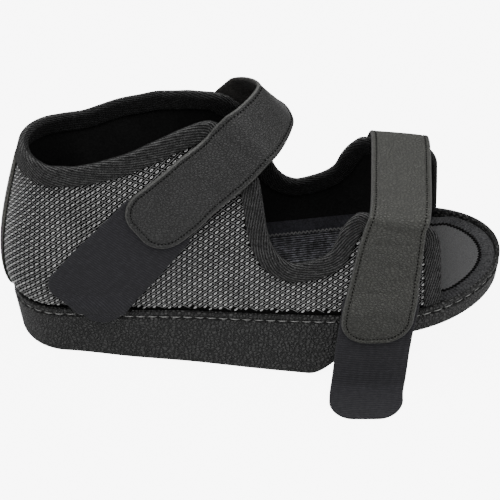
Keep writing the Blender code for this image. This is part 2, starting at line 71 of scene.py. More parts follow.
def smooth(table: Table, column: int, at: np.ndarray) -> np.ndarray:
    """Monotone cubic through one column of a table whose first column is the place.

    On each span, with t from 0 to 1 and end values a, b and slopes p, q:
    a (1 + 2t)(1 - t)^2 + b t^2 (3 - 2t) + w (p t (1 - t)^2 - q t^2 (1 - t)).

    Args:
        table: rows that start with the place, in rising order.
        column: the column that is read.
        at: places to read it at.

    Returns:
        The values, held constant past both ends.
    """
    place = np.array([row[0] for row in table])
    value = np.array([row[column] for row in table])
    at = np.clip(np.asarray(at, float), place[0], place[-1])
    width = np.diff(place)
    slope = np.diff(value) / width
    bend = np.zeros(len(place))
    same = slope[:-1] * slope[1:] > 0
    before = 2 * width[1:] + width[:-1]
    after = width[1:] + 2 * width[:-1]
    first = np.where(same, slope[:-1], 1.0)
    second = np.where(same, slope[1:], 1.0)
    mean = (before + after) / (before / first + after / second)
    bend[1:-1] = np.where(same, mean, 0.0)
    bend[0] = slope[0]
    bend[-1] = slope[-1]
    k = np.clip(np.searchsorted(place, at) - 1, 0, len(width) - 1)
    t = (at - place[k]) / width[k]
    lift = value[k] * (1 + 2 * t) * (1 - t) ** 2 + value[k + 1] * t * t * (3 - 2 * t)
    return lift + width[k] * (bend[k] * t * (1 - t) ** 2 - bend[k + 1] * t * t * (1 - t))


def ease(at: np.ndarray, start: float, end: float) -> np.ndarray:
    """Soft step t^2 (3 - 2t) from 0 at start to 1 at end."""
    t = np.clip((np.asarray(at, float) - start) / (end - start), 0.0, 1.0)
    return t * t * (3 - 2 * t)


def unit(rows: np.ndarray) -> np.ndarray:
    """Vectors of length one along the last axis."""
    return rows / np.maximum(np.linalg.norm(rows, axis=-1, keepdims=True), 1e-9)


def lengths(points: np.ndarray) -> np.ndarray:
    """Distance gone along a line of points, from 0."""
    steps = np.linalg.norm(np.diff(points, axis=0), axis=-1)
    return np.concatenate([[0.0], np.cumsum(steps)])


def follow(at: np.ndarray, place: np.ndarray, rows: np.ndarray) -> np.ndarray:
    """Rows of numbers read at places along a line, straight between its points."""
    return np.stack([np.interp(at, place, rows[:, k]) for k in range(rows.shape[1])], axis=-1)


def grid_faces(rows: int, columns: int, wrap: bool = False, start: int = 0) -> np.ndarray:
    """Four-sided faces of a grid of points stored row by row.

    Args:
        rows: number of rows.
        columns: number of columns.
        wrap: whether the last column joins the first.
        start: index of the grid's first point.

    Returns:
        Array of faces, four point indices each.
    """
    r, c = np.meshgrid(np.arange(rows - 1), np.arange(columns - (0 if wrap else 1)), indexing="ij")
    after = (c + 1) % columns
    faces = np.stack([r * columns + c, r * columns + after, (r + 1) * columns + after, (r + 1) * columns + c], -1)
    return faces.reshape(-1, 4) + start


def zip_faces(ring: np.ndarray) -> np.ndarray:
    """Faces that close a ring of points like a zip, each joined to the one across from it."""
    count = len(ring)
    i = np.arange(count // 2 - 1)
    return np.stack([ring[i], ring[i + 1], ring[count - 2 - i], ring[count - 1 - i]], -1)


@dataclass
class Shape:
    """Points, faces and flat coordinates of one piece, in millimetres."""

    points: np.ndarray
    faces: np.ndarray
    flat: np.ndarray | None = None
    kind: np.ndarray | None = None

    def joined(self, other: "Shape") -> "Shape":
        """This shape and another one as a single shape."""
        flat = None
        if self.flat is not None and other.flat is not None:
            flat = np.concatenate([self.flat, other.flat])
        kind = None
        if self.kind is not None and other.kind is not None:
            kind = np.concatenate([self.kind, other.kind])
        faces = np.concatenate([self.faces, other.faces + len(self.points)])
        return Shape(np.concatenate([self.points, other.points]), faces, flat, kind)

    def object(self, name: str, centre: float, weld: bool = False, sharp: float | None = None) -> bpy.types.Object:
        """Mesh object in metres at the origin, with its faces turned outwards.

        Args:
            name: name of the piece.
            centre: forward distance that becomes X = 0.
            weld: whether points that coincide are merged.
            sharp: angle in degrees past which an edge is shaded sharp.

        Returns:
            The object, linked to the scene.
        """
        points = self.points.reshape(-1, 3)
        a, b, c, d = (points[self.faces[:, k]] for k in range(4))
        volume = np.sum(a * np.cross(b, c)) + np.sum(a * np.cross(c, d))
        faces = self.faces[:, ::-1] if volume < 0 else self.faces
        kind = self.kind
        mesh = bpy.data.meshes.new(name)
        mesh.from_pydata(((points - [centre, 0.0, 0.0]) * MM).tolist(), [], faces.tolist())
        if self.flat is not None:
            corner = np.zeros(len(mesh.loops), dtype=np.int32)
            mesh.loops.foreach_get("vertex_index", corner)
            layer = mesh.uv_layers.new(name="flat")
            layer.data.foreach_set("uv", self.flat.reshape(-1, 2)[corner].ravel())
        if kind is not None:
            mesh.polygons.foreach_set("material_index", kind.astype(np.int32))
        mesh.polygons.foreach_set("use_smooth", np.ones(len(mesh.polygons), dtype=bool))
        mesh.update()
        if weld:
            work = bmesh.new()
            work.from_mesh(mesh)
            bmesh.ops.remove_doubles(work, verts=work.verts, dist=0.01 * MM)
            work.to_mesh(mesh)
            work.free()
            mesh.update()
        if sharp is not None:
            mesh.set_sharp_from_angle(angle=math.radians(sharp))
        item = bpy.data.objects.new(name, mesh)
        bpy.context.scene.collection.objects.link(item)
        return item


def skin(rings: np.ndarray, flat: np.ndarray | None = None, caps: bool = True) -> Shape:
    """Closed body through equal rings of points, capped at both ends.

    Args:
        rings: array of rings, points in each, and three coordinates.
        flat: flat coordinates of the same points.
        caps: whether the two end rings are closed.

    Returns:
        The shape, its sides point(i, j) joined to the next ring and the next point.
    """
    rows, count = rings.shape[:2]
    faces = [grid_faces(rows, count, wrap=True)]
    if caps:
        faces.append(zip_faces(np.arange(count))[:, ::-1])
        faces.append(zip_faces(np.arange(count) + (rows - 1) * count))
    return Shape(rings.reshape(-1, 3), np.concatenate(faces), None if flat is None else flat.reshape(-1, 2))


def thread(line: np.ndarray, radius: float | np.ndarray, sides: int = 6) -> Shape:
    """Tube of round section along an open line of points.

    Args:
        line: points that the middle of the tube follows.
        radius: radius, one number or one at each point.
        sides: sides of the section.

    Returns:
        The closed tube, point + r (cos t A + sin t B) round each point of the line.
    """
    ahead = unit(np.gradient(line, axis=0))
    aside = unit(np.cross(ahead, np.broadcast_to([0.13, 0.21, 0.97], ahead.shape)))
    other = np.cross(ahead, aside)
    turn = np.linspace(0, 2 * np.pi, sides, endpoint=False)
    size = np.broadcast_to(np.asarray(radius, float), (len(line),))[:, None, None]
    round_it = aside[:, None] * np.cos(turn)[:, None] + other[:, None] * np.sin(turn)[:, None]
    return skin(line[:, None] + size * round_it)


@dataclass(frozen=True)
class Dashes:
    """Row of short stitches that lie on a surface along a line."""

    pitch: float
    length: float
    width: float
    height: float
    sink: float = 0.1
    rings: int = 5

    def shape(self, line: np.ndarray, outward: np.ndarray) -> Shape:
        """Stitches evenly spaced on the line.

        A stitch is an oval of half width w/2 sin(e) and height h sin(e), e from 0 to pi
        along it, so that it tapers into the surface at both ends.

        Args:
            line: points of the seam on the surface.
            outward: the surface's outward direction at each point.

        Returns:
            All stitches as one shape.
        """
        gone = lengths(line)
        count = max(int((gone[-1] - self.length) // self.pitch), 1)
        start = (gone[-1] - (count - 1) * self.pitch) / 2
        middle = start + self.pitch * np.arange(count)
        share = np.linspace(-0.5, 0.5, self.rings)
        at = middle[:, None] + share * self.length
        spot = follow(at, gone, line)
        out = unit(follow(at, gone, outward))
        ahead = unit(np.gradient(spot, axis=1))
        aside = np.cross(ahead, out)
        fat = np.cos(share * np.pi * 0.86)[None, :, None, None]
        turn = (np.arange(6) + 0.5) * np.pi / 3
        wide = aside[:, :, None] * np.cos(turn)[:, None] * self.width / 2
        high = out[:, :, None] * (np.sin(turn)[:, None] * self.height / 2)
        rise = out[:, :, None] * (self.height / 2 - self.sink) * (2 * fat - 1)
        rings = spot[:, :, None] + (wide + high) * (0.35 + 0.65 * fat) + rise
        one = skin(rings[0]).faces
        every = one[None] + (np.arange(count) * self.rings * 6)[:, None, None]
        return Shape(rings.reshape(-1, 3), every.reshape(-1, 4))


@dataclass
class Last:
    """Plan of the sole and form of the upper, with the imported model's own sizes."""

    sole_length: float = 294.0
    ball_width: float = 106.0
    base_centre: float = 96.0
    heel_height: float = 33.8
    rim_climb: float = 0.0805
    toe_spring: float = 4.0
    heel_round: float = 33.0
    toe_round_near: float = 70.0
    toe_round_far: float = 60.0
    forefoot_thickness: float = 17.0
    block_end: float = 181.0
    block_front_run: float = 38.0
    lip_width: float = 2.6
    cup_depth: float = 7.0
    gap: float = 0.3
    wall_thickness: float = 3.2
    quarter_rise: float = 116.0
    front_corner: float = 12.0
    plan: Table = (
        (0.000, 0.320, 0.000), (0.125, 0.335, 0.000), (0.255, 0.375, 0.000), (0.360, 0.397, 0.000),
        (0.517, 0.447, 0.000), (0.592, 0.468, 0.000), (0.677, 0.490, 0.003), (0.741, 0.500, 0.010),
        (0.860, 0.500, 0.026), (1.000, 0.500, 0.045),
    )
    wall_form: Table = (
        (0.000, 0.108, 0.080), (0.070, 0.077, 0.066), (0.130, 0.051, 0.038), (0.200, 0.035, 0.028),
        (0.285, 0.083, 0.024), (0.355, 0.174, 0.017), (0.415, 0.245, 0.009), (0.500, 0.225, 0.003),
        (0.590, 0.245, 0.000), (0.680, 0.276, 0.000), (0.780, 0.255, 0.000), (1.000, 0.255, 0.000),
    )
    edge: Table = (
        (0.000, 0.877), (0.068, 0.850), (0.105, 0.838), (0.143, 0.839), (0.184, 0.861), (0.221, 0.888),
        (0.262, 0.914), (0.299, 0.945), (0.330, 0.965), (0.364, 0.988), (0.401, 1.000), (0.425, 0.975),
        (0.449, 0.910), (0.476, 0.827), (0.501, 0.733), (0.511, 0.622), (0.520, 0.497), (0.529, 0.411),
        (0.543, 0.344), (0.561, 0.298), (0.582, 0.277), (0.612, 0.291), (0.639, 0.317), (0.658, 0.359),
        (0.673, 0.451), (0.689, 0.512), (0.708, 0.547), (0.728, 0.540), (0.745, 0.525), (0.762, 0.515),
        (0.803, 0.490), (0.840, 0.460), (0.873, 0.435),
    )
    creases: Table = (
        # way, up, half length, half width, turn in degrees, depth
        (-96.0, 52.0, 34.0, 7.0, 62.0, 0.7),
        (-40.0, 58.0, 26.0, 8.0, 20.0, 0.5),
        (-132.0, 60.0, 22.0, 6.0, 70.0, -0.5),
        (-168.0, 22.0, 26.0, 6.0, 34.0, 0.5),
        (-205.0, 26.0, 20.0, 5.0, -30.0, 0.5),
        (60.0, 50.0, 32.0, 8.0, -40.0, 0.7),
        (150.0, 40.0, 30.0, 7.0, -60.0, 0.6),
        (14.0, 30.0, 20.0, 9.0, 10.0, 0.4),
    )

    def __post_init__(self) -> None:
        """Work out the foot line of the upper once."""
        self.upper_front = 0.8724 * self.sole_length
        self.foot_inset = self.lip_width + self.gap
        turn = np.linspace(-np.pi + 0.02, np.pi - 0.02, 1601)
        self.foot = self.plan_point(turn, np.full(turn.shape, self.foot_inset))
        inner = self.plan_point(turn, np.full(turn.shape, self.foot_inset + 1.0))
        way = lengths(self.foot)
        self.ways = way - np.interp(0.0, turn, way)
        self.out = self.foot - inner

    def rim_height(self, along: np.ndarray) -> np.ndarray:
        """Height of the lip's top: heel + climb x along + spring x (share of the toe)^2."""
        start = 0.796 * self.sole_length
        spring = np.clip((along - start) / (self.sole_length - start), 0, 1.1)
        return self.heel_height + self.rim_climb * along + self.toe_spring * spring ** 2

    def base_height(self, along: np.ndarray) -> np.ndarray:
        """Height of the underside: flat wedge, rounded front, then the raised forefoot."""
        raised = self.rim_height(along) - self.forefoot_thickness
        return raised * ease(along, self.block_end, self.block_end + self.block_front_run)

    def plan_point(self, turn: np.ndarray, inset: np.ndarray | None) -> np.ndarray:
        """Point of the sole's plan.

        along = L/2 (1 - cos turn); the half width follows the plan's table and is
        rounded off at heel and toe by sqrt(1 - x^2).

        Args:
            turn: 0 at the heel, minus on the near side, pi at the toe.
            inset: distance in from the outline, or None for the outline itself.

        Returns:
            Points (along, across).
        """
        along = self.sole_length / 2 * (1 - np.cos(turn))
        share = along / self.sole_length
        heel = np.clip(1 - along / self.heel_round, 0, 1)
        side = np.where(np.sin(turn) < 0, -1.0, 1.0)
        toe_round = np.where(side < 0, self.toe_round_near, self.toe_round_far)
        toe = np.clip(1 - (self.sole_length - along) / toe_round, 0, 1)
        half = self.ball_width * smooth(self.plan, 1, share)
        half = half * np.sqrt(1 - heel ** 2) * np.sqrt(1 - toe ** 2)
        point = np.stack([along, self.ball_width * smooth(self.plan, 2, share) + side * half], axis=-1)
        if inset is None:
            return point
        ahead = unit(self.plan_point(turn + 0.004, None) - self.plan_point(turn - 0.004, None))
        outward = np.stack([-ahead[..., 1], ahead[..., 0]], axis=-1)
        return point - outward * np.asarray(inset)[..., None]

    def turns(self, count: int) -> np.ndarray:
        """Even turns round the plan, the near ones the mirror of the far ones."""
        return -np.pi + (np.arange(count) + 0.5) * 2 * np.pi / count

    def way_to(self, along: float, side: Side) -> float:
        """Way round the upper to a forward distance on one side."""
        half = self.ways * side.value >= 0
        order = np.argsort(self.foot[half, 0])
        return float(np.interp(along, self.foot[half, 0][order], self.ways[half][order]))

    def face(self, way: np.ndarray, up: np.ndarray) -> np.ndarray:
        """Outer face of the upper: foot line - outward (lean u^1.5 - swell sin(pi u^0.55))."""
        plan = follow(way, self.ways, self.foot)
        outward = follow(way, self.ways, self.out)
        share = plan[..., 0] / self.sole_length
        rise = np.clip(up - 1.0, 0.0, None) / self.quarter_rise
        lean = smooth(self.wall_form, 1, share) * rise ** 1.5
        bulge = np.sin(np.pi * np.clip(rise / 0.88, 0, 1) ** 0.55)
        flat = plan - outward * (lean - smooth(self.wall_form, 2, share) * bulge)[..., None] * self.ball_width
        height = self.rim_height(plan[..., 0]) + up
        return np.concatenate([flat, height[..., None]], axis=-1)

    def crease_depth(self, way: np.ndarray, up: np.ndarray) -> np.ndarray:
        """Soft troughs at the listed places, each depth exp(-(a/length)^2 - (b/width)^2)."""
        total = np.zeros(np.broadcast(way, up).shape)
        for centre, high, length, width, turn, depth in self.creases:
            c, s = math.cos(math.radians(turn)), math.sin(math.radians(turn))
            a = (way - centre) * c + (up - high) * s
            b = (up - high) * c - (way - centre) * s
            total += depth * np.exp(-(a / length) ** 2 - (b / width) ** 2)
        return total

    def wall(self, way: np.ndarray, up: np.ndarray, out: np.ndarray | float) -> np.ndarray:
        """Point at a distance out of the upper's outer face, square to it.

        Args:
            way: way round the upper.
            up: height over the rim.
            out: distance out of the face, minus for inside it.

        Returns:
            Points in space.
        """
        way, up, out = np.broadcast_arrays(*(np.asarray(v, float) for v in (way, up, out)))
        ahead = self.face(way + 1.0, up) - self.face(way - 1.0, up)
        rise = self.face(way, up + 1.0) - self.face(way, up - 1.0)
        return self.face(way, up) + unit(np.cross(rise, ahead)) * out[..., None]

    def cloth(self, way: np.ndarray, up: np.ndarray, out: np.ndarray | float) -> np.ndarray:
        """The same as wall, with the creases pressed into the face."""
        return self.wall(way, up, out - self.crease_depth(way, up))

    def edge_height(self, way: np.ndarray) -> np.ndarray:
        """Height of the upper's top edge over the rim, with its rounded front corners."""
        along = np.interp(way, self.ways, self.foot[:, 0])
        height = self.quarter_rise * smooth(self.edge, 1, along / self.sole_length)
        near, far = (self.way_to(self.upper_front, side) for side in Side)
        end = np.where(way < 0, -near, far)
        past = np.clip(np.abs(way) - end + self.front_corner, 0, self.front_corner)
        return height - self.front_corner + np.sqrt(self.front_corner ** 2 - past ** 2)

    def edge_path(self, count: int, foot: float) -> tuple[np.ndarray, np.ndarray]:
        """Evenly spaced places (way, up) on the upper's edge, from one front foot to the other."""
        near, far = (self.way_to(self.upper_front, side) for side in Side)
        way = near + (far - near) * (np.sin(np.linspace(-np.pi / 2, np.pi / 2, 6001)) + 1) / 2
        up = self.edge_height(way)
        line = np.stack([np.concatenate([[near], way, [far]]), np.concatenate([[foot], up, [foot]])], -1)
        gone = lengths(line)
        even = follow(np.linspace(0.0, gone[-1], count), gone, line)
        return even[:, 0], even[:, 1]


@dataclass
class Band:
    """Flat band of leather or cloth over a grid of its under face, with rounded edges."""

    under: np.ndarray
    reach: np.ndarray
    thickness: float
    rounding: float
    # Width of the top's edge that gets kind 2, a painted highlight; none when below 0.
    rim: float = -1.0

    def __post_init__(self) -> None:
        """Work out the way out of the under face, from the side the last row lies on."""
        square = unit(np.cross(np.gradient(self.under, axis=0), np.gradient(self.under, axis=1)))
        middle = self.under.shape[1] // 2
        self.outward = square * np.sign(square[-1, middle, 1] * self.under[-1, middle, 1])

    def fullness(self) -> np.ndarray:
        """Share of the thickness near an edge: sqrt(1 - (1 - d/r)^2), from a thin rim."""
        d = np.clip(self.reach / self.rounding, 0.0, 1.0)
        return np.maximum(np.sqrt(1 - (1 - d) ** 2), 0.12)

    def top(self, relief: np.ndarray | float = 0.0) -> np.ndarray:
        """Upper face, with a relief in millimetres added."""
        high = self.thickness * (0.5 + 0.5 * self.fullness()) + relief
        return self.under + self.outward * np.broadcast_to(high, self.reach.shape)[..., None]

    def bottom(self) -> np.ndarray:
        """Lower face, which curves up to the rim at the edges."""
        low = self.thickness * (0.5 - 0.5 * self.fullness())
        return self.under + self.outward * low[..., None]

    def shape(self, flat: np.ndarray, relief: np.ndarray | float = 0.0) -> Shape:
        """Closed band, its top faces of kind 0, its under faces of kind 1 and its top faces within rim of the outline
        of kind 2, which takes a painted edge highlight.

        Args:
            flat: flat coordinates of the grid.
            relief: height added to the top.

        Returns:
            The shape.
        """
        rings = np.concatenate([self.top(relief), self.bottom()[:, ::-1]], axis=1)
        made = skin(rings, np.concatenate([flat, flat[:, ::-1]], axis=1))
        rows, columns = self.reach.shape
        kind = np.zeros(len(made.faces), dtype=np.int32)
        column = np.tile(np.arange(2 * columns), rows - 1)
        kind[: len(column)] = (column >= columns) & (column < 2 * columns - 1)
        along = np.tile(np.minimum(self.reach, np.roll(self.reach, -1, axis=1)), (1, 1))[: rows - 1]
        # Kind 2 on the top's faces within rim of the outline: the painted edge highlight.
        rim = np.concatenate([along < self.rim, np.zeros_like(along, dtype=bool)], axis=1).ravel()
        kind[: len(column)][rim & (column < columns - 1)] = 2
        made.kind = kind
        return made


def rounded_reach(from_end: np.ndarray, from_side: np.ndarray, corner: float) -> np.ndarray:
    """Distance to the outline of a band with one rounded end.

    Args:
        from_end: distance from the end's straight line.
        from_side: distance from the nearer straight side.
        corner: radius of the corners.

    Returns:
        The nearer of the two, or corner - hypot(...) inside a corner's square.
    """
    a = np.maximum(corner - from_end, 0)
    b = np.maximum(corner - from_side, 0)
    inside = np.minimum(from_end, from_side)
    return np.where((a > 0) & (b > 0), corner - np.hypot(a, b), inside)


def border_shares(count: int) -> np.ndarray:
    """Shares across a band from -0.5 to 0.5, closer together towards the two sides."""
    t = np.linspace(-1, 1, count)
    return 0.5 * (0.55 * t + 0.45 * np.sin(np.pi / 2 * t))


class Graph:
    """Short hand for building one node tree."""

    def __init__(self, tree: bpy.types.NodeTree) -> None:
        """Keep the tree that nodes are added to."""
        self.tree = tree

    def node(self, kind: str, settings: dict | None = None, **values: object) -> bpy.types.Node:
        """Add a node, set its properties and its inputs, and link inputs given as sockets.

        Args:
            kind: the node's type name without the ShaderNode prefix.
            settings: properties of the node.
            values: inputs by name, with spaces written as underscores.

        Returns:
            The node.
        """
        made = self.tree.nodes.new(kind if kind.startswith("Node") else "ShaderNode" + kind)
        for name, value in (settings or {}).items():
            setattr(made, name, value)
        for name, value in values.items():
            socket = self.socket(made, name)
            if isinstance(value, bpy.types.NodeSocket):
                self.tree.links.new(value, socket)
            else:
                socket.default_value = value
        return made

    @staticmethod
    def socket(made: bpy.types.Node, name: str) -> bpy.types.NodeSocket:
        """Input of a node by its name, or by its number for names such as in_0."""
        if name.startswith("in_"):
            return made.inputs[int(name[3:])]
        return made.inputs[name.replace("_", " ")]

    def math(self, operation: str, first: object, second: object = 0.0, third: object = 0.0) -> bpy.types.NodeSocket:
        """One step of arithmetic, its result as a socket."""
        made = self.node("Math", {"operation": operation}, in_0=first, in_1=second, in_2=third)
        return made.outputs[0]

    def ramp(self, factor: bpy.types.NodeSocket, low: float, high: float, to: tuple[float, float] = (0.0, 1.0)) -> bpy.types.NodeSocket:
        """Map a value from a range to another one with a soft step."""
        made = self.node(
            "MapRange", {"interpolation_type": "SMOOTHSTEP"},
            Value=factor, From_Min=low, From_Max=high, To_Min=to[0], To_Max=to[1],
        )
        return made.outputs[0]

    def mix(self, factor: object, first: object, second: object) -> bpy.types.NodeSocket:
        """Mix two colours."""
        made = self.node("Mix", {"data_type": "RGBA"}, in_0=factor, in_6=first, in_7=second)
        return made.outputs[2]


def shade(red: float, green: float, blue: float) -> tuple[float, float, float, float]:
    """Linear colour with full alpha."""
    return (red, green, blue, 1.0)


class Groups:
    """Shader groups that several materials share, each built once."""

    def __init__(self) -> None:
        """Build every group."""
        self.grain = self.make("pebbled_grain", ("Vector", "Scale"), ("Height", "Cell"), self.fill_grain)
        self.cloth = self.make("ribbed_cloth", ("Vector", "Pitch X", "Pitch Y"), ("Height",), self.fill_cloth)
        self.mottle = self.make("mottle", ("Vector", "Scale"), ("Factor",), self.fill_mottle)

    @staticmethod
    def make(name: str, inputs: tuple[str, ...], outputs: tuple[str, ...], fill: object) -> bpy.types.NodeTree:
        """New shader group with named sockets.

        Args:
            name: name of the group.
            inputs: names of its inputs, of which Vector is a vector and the rest are numbers.
            outputs: names of its outputs, all numbers.
            fill: function that builds what lies between them.

        Returns:
            The group's tree.
        """
        tree = bpy.data.node_groups.new(name, "ShaderNodeTree")
        for socket in inputs:
            kind = "NodeSocketVector" if socket == "Vector" else "NodeSocketFloat"
            tree.interface.new_socket(socket, in_out="INPUT", socket_type=kind)
        for socket in outputs:
            tree.interface.new_socket(socket, in_out="OUTPUT", socket_type="NodeSocketFloat")
        graph = Graph(tree)
        fill(graph, graph.node("NodeGroupInput"), graph.node("NodeGroupOutput"))
        return tree

    @staticmethod
    def fill_grain(g: Graph, given: bpy.types.Node, result: bpy.types.Node) -> None:
        """Leather grain: rounded pebbles between creases, over two sizes of noise."""
        vector, scale = given.outputs[0], given.outputs[1]
        bent = g.node("TexNoise", {"noise_dimensions": "3D"}, Vector=vector, Scale=scale, Detail=2.0)
        moved = g.node("VectorMath", {"operation": "SCALE"}, in_0=bent.outputs["Color"], Scale=0.0005)
        warped = g.node("VectorMath", {"operation": "ADD"}, in_0=vector, in_1=moved.outputs[0])
        cells = g.node("TexVoronoi", {"feature": "DISTANCE_TO_EDGE"}, Vector=warped.outputs[0], Scale=scale)
        pebble = g.ramp(cells.outputs["Distance"], 0.0, 0.28)
        fine = g.node("TexNoise", {}, Vector=vector, Scale=g.math("MULTIPLY", scale, 2.6), Detail=3.0)
        height = g.math("MULTIPLY_ADD", fine.outputs["Fac"], 0.35, g.math("MULTIPLY", pebble, 0.65))
        g.tree.links.new(height, result.inputs[0])
        g.tree.links.new(pebble, result.inputs[1])

    @staticmethod
    def fill_cloth(g: Graph, given: bpy.types.Node, result: bpy.types.Node) -> None:
        """Knit or ribbed cloth: |sin| ribs across one way, broken into loops the other way."""
        bent = g.node("TexNoise", {}, Vector=given.outputs[0], Scale=75.0, Detail=2.0)
        moved = g.node("VectorMath", {"operation": "SCALE"}, in_0=bent.outputs["Color"], Scale=0.012)
        warped = g.node("VectorMath", {"operation": "ADD"}, in_0=given.outputs[0], in_1=moved.outputs[0])
        split = g.node("SeparateXYZ", {}, Vector=warped.outputs[0])
        across = g.math("SINE", g.math("DIVIDE", g.math("MULTIPLY", split.outputs[0], math.tau), given.outputs[1]))
        down = g.math("SINE", g.math("DIVIDE", g.math("MULTIPLY", split.outputs[1], math.tau), given.outputs[2]))
        both = g.math("MULTIPLY_ADD", down, 0.14, g.math("MULTIPLY_ADD", across, 0.5, 0.5))
        g.tree.links.new(both, result.inputs[0])

    @staticmethod
    def fill_mottle(g: Graph, given: bpy.types.Node, result: bpy.types.Node) -> None:
        """Slow change of tone over a surface: two sizes of noise."""
        wide = g.node("TexNoise", {}, Vector=given.outputs[0], Scale=given.outputs[1], Detail=2.0)
        small = g.node("TexNoise", {}, Vector=given.outputs[0], Scale=g.math("MULTIPLY", given.outputs[1], 7.0), Detail=3.0)
        mixed = g.math("MULTIPLY_ADD", small.outputs["Fac"], 0.4, g.math("MULTIPLY", wide.outputs["Fac"], 0.6))
        g.tree.links.new(g.ramp(mixed, 0.3, 0.7), result.inputs[0])


@dataclass(frozen=True)
class Finish:
    """Base of every finish: its name, colours and gloss."""

    name: str
    dark: tuple[float, float, float, float]
    light: tuple[float, float, float, float]
    roughness: float = 0.6
    specular: float = 0.35
    sheen: float = 0.0
    bump: float = 0.3
    depth: float = 0.3

    def start(self) -> tuple[bpy.types.Material, Graph, bpy.types.Node]:
        """New material with its shader's plain numbers set."""
        material = bpy.data.materials.new(self.name)
        material.use_nodes = True
        shader = material.node_tree.nodes["Principled BSDF"]
        shader.inputs["Specular IOR Level"].default_value = self.specular
        shader.inputs["Sheen Weight"].default_value = self.sheen
        shader.inputs["Sheen Roughness"].default_value = 0.5
        return material, Graph(material.node_tree), shader

    def finish(self, g: Graph, shader: bpy.types.Node, height: bpy.types.NodeSocket, tone: object, rough: object) -> None:
        """Link a height, a tone between the two colours, and a roughness to the shader."""
        bump = g.node("Bump", {}, Strength=self.bump, Distance=self.depth * MM, Height=height)
        g.tree.links.new(bump.outputs[0], shader.inputs["Normal"])
        g.tree.links.new(g.mix(tone, self.dark, self.light), shader.inputs["Base Color"])
        if isinstance(rough, bpy.types.NodeSocket):
            g.tree.links.new(rough, shader.inputs["Roughness"])
        else:
            shader.inputs["Roughness"].default_value = rough


@dataclass(frozen=True)
class Leather(Finish):
    """Grained leather whose creases are darker and duller than its pebbles."""

    scale: float = 900.0
    stretch: float = 1.0

    def material(self, groups: Groups) -> bpy.types.Material:
        """Build the material, its grain drawn out along the shoe where stretch is under 1."""
        material, g, shader = self.start()
        where = g.node("TexCoord").outputs["Object"]
        drawn = g.node("Mapping", {}, Vector=where, Scale=(self.stretch, 1.0, 1.0)).outputs[0]
        grain = g.node("Group", {"node_tree": groups.grain}, Vector=drawn, Scale=self.scale)
        mottle = g.node("Group", {"node_tree": groups.mottle}, Vector=where, Scale=38.0)
        tone = g.math("MULTIPLY", grain.outputs["Cell"], g.math("MULTIPLY_ADD", mottle.outputs[0], 0.4, 0.6))
        rough = g.math("MULTIPLY_ADD", mottle.outputs[0], 0.12, self.roughness - 0.06)
        self.finish(g, shader, grain.outputs["Height"], tone, rough)
        return material


@dataclass(frozen=True)
class Knit(Finish):
    """Ribbed or knitted cloth that follows a piece's own flat coordinates, in metres."""

    pitch: tuple[float, float] = (1.4, 1.0)
    turn: float = 0.0

    def material(self, groups: Groups) -> bpy.types.Material:
        """Build the material."""
        material, g, shader = self.start()
        flat = g.node("UVMap", {"uv_map": "flat"}).outputs[0]
        turned = g.node("Mapping", {}, Vector=flat, Rotation=(0.0, 0.0, math.radians(self.turn)))
        ribs = g.node(
            "Group", {"node_tree": groups.cloth},
            Vector=turned.outputs[0], Pitch_X=self.pitch[0] * 0.01, Pitch_Y=self.pitch[1] * 0.01,
        )
        where = g.node("TexCoord").outputs["Object"]
        mottle = g.node("Group", {"node_tree": groups.mottle}, Vector=where, Scale=330.0)
        sharp = g.ramp(ribs.outputs[0], 0.25, 0.95)
        tone = g.math("MULTIPLY", sharp, g.math("MULTIPLY_ADD", mottle.outputs[0], 1.1, 0.1))
        self.finish(g, shader, ribs.outputs[0], tone, self.roughness)
        return material


@dataclass(frozen=True)
class Pile(Finish):
    """Short loop pile or felted cloth: fine tangled noise."""

    scale: float = 1500.0

    def material(self, groups: Groups) -> bpy.types.Material:
        """Build the material."""
        material, g, shader = self.start()
        where = g.node("TexCoord").outputs["Object"]
        loops = g.node("TexNoise", {}, Vector=where, Scale=self.scale, Detail=3.0, Roughness=0.7)
        mottle = g.node("Group", {"node_tree": groups.mottle}, Vector=where, Scale=45.0)
        tone = g.math("MULTIPLY_ADD", g.ramp(loops.outputs["Fac"], 0.35, 0.65), 0.6, g.math("MULTIPLY", mottle.outputs[0], 0.4))
        self.finish(g, shader, loops.outputs["Fac"], tone, self.roughness)
        return material


@dataclass
class Workshop:
    """What every sub-assembly works with: the last, the shader groups and the CAD body."""

    last: Last
    groups: Groups
    body: str = "root"

    def place(self, shape: Shape, name: str, slot: str, finishes: list[Finish], weld: bool = False, sharp: float | None = None) -> bpy.types.Object:
        """Make a piece, give it its materials and let it ride on the body.

        Args:
            shape: the piece's points and faces.
            name: its name.
            slot: name of a material slot; not used.
            finishes: one finish for each kind of face.
            weld: whether coinciding points are merged.
            sharp: angle past which edges are sharp.

        Returns:
            The object.
        """
        piece = shape.object(name, self.last.base_centre, weld, sharp)
        for finish in finishes:
            known = bpy.data.materials.get(finish.name)
            piece.data.materials.append(known or finish.material(self.groups))
        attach(piece, self.body)
        log.info("%s: %d faces", name, len(piece.data.polygons))
        return piece


SOLE_LEATHER = Leather(
    "sole_leather", shade(0.001, 0.001, 0.001), shade(0.054, 0.054, 0.053), 0.5, 0.45, bump=1.0, depth=2.2, scale=440.0,
)
SOLE_TREAD = Pile(
    "tread_rubber", shade(0.010, 0.010, 0.010), shade(0.020, 0.020, 0.020), 0.75, 0.3, bump=0.4, depth=0.3, scale=600.0,
)
SOLE_THREAD = Pile(
    "pale_thread", shade(0.20, 0.20, 0.197), shade(0.46, 0.46, 0.45), 0.7, 0.3, bump=0.5, depth=0.1, scale=2400.0,
)
ANKLE_LEATHER = Leather(
    "ankle_strap_leather", shade(0.014, 0.014, 0.0137), shade(0.037, 0.037, 0.0362), 0.5, 0.4,
    bump=1.0, depth=0.5, scale=820.0, stretch=0.6,
)
FOREFOOT_LEATHER = Leather(
    "forefoot_strap_leather", shade(0.026, 0.026, 0.0230), shade(0.064, 0.065, 0.0570), 0.5, 0.4,
    bump=1.0, depth=0.5, scale=820.0, stretch=0.6,
)
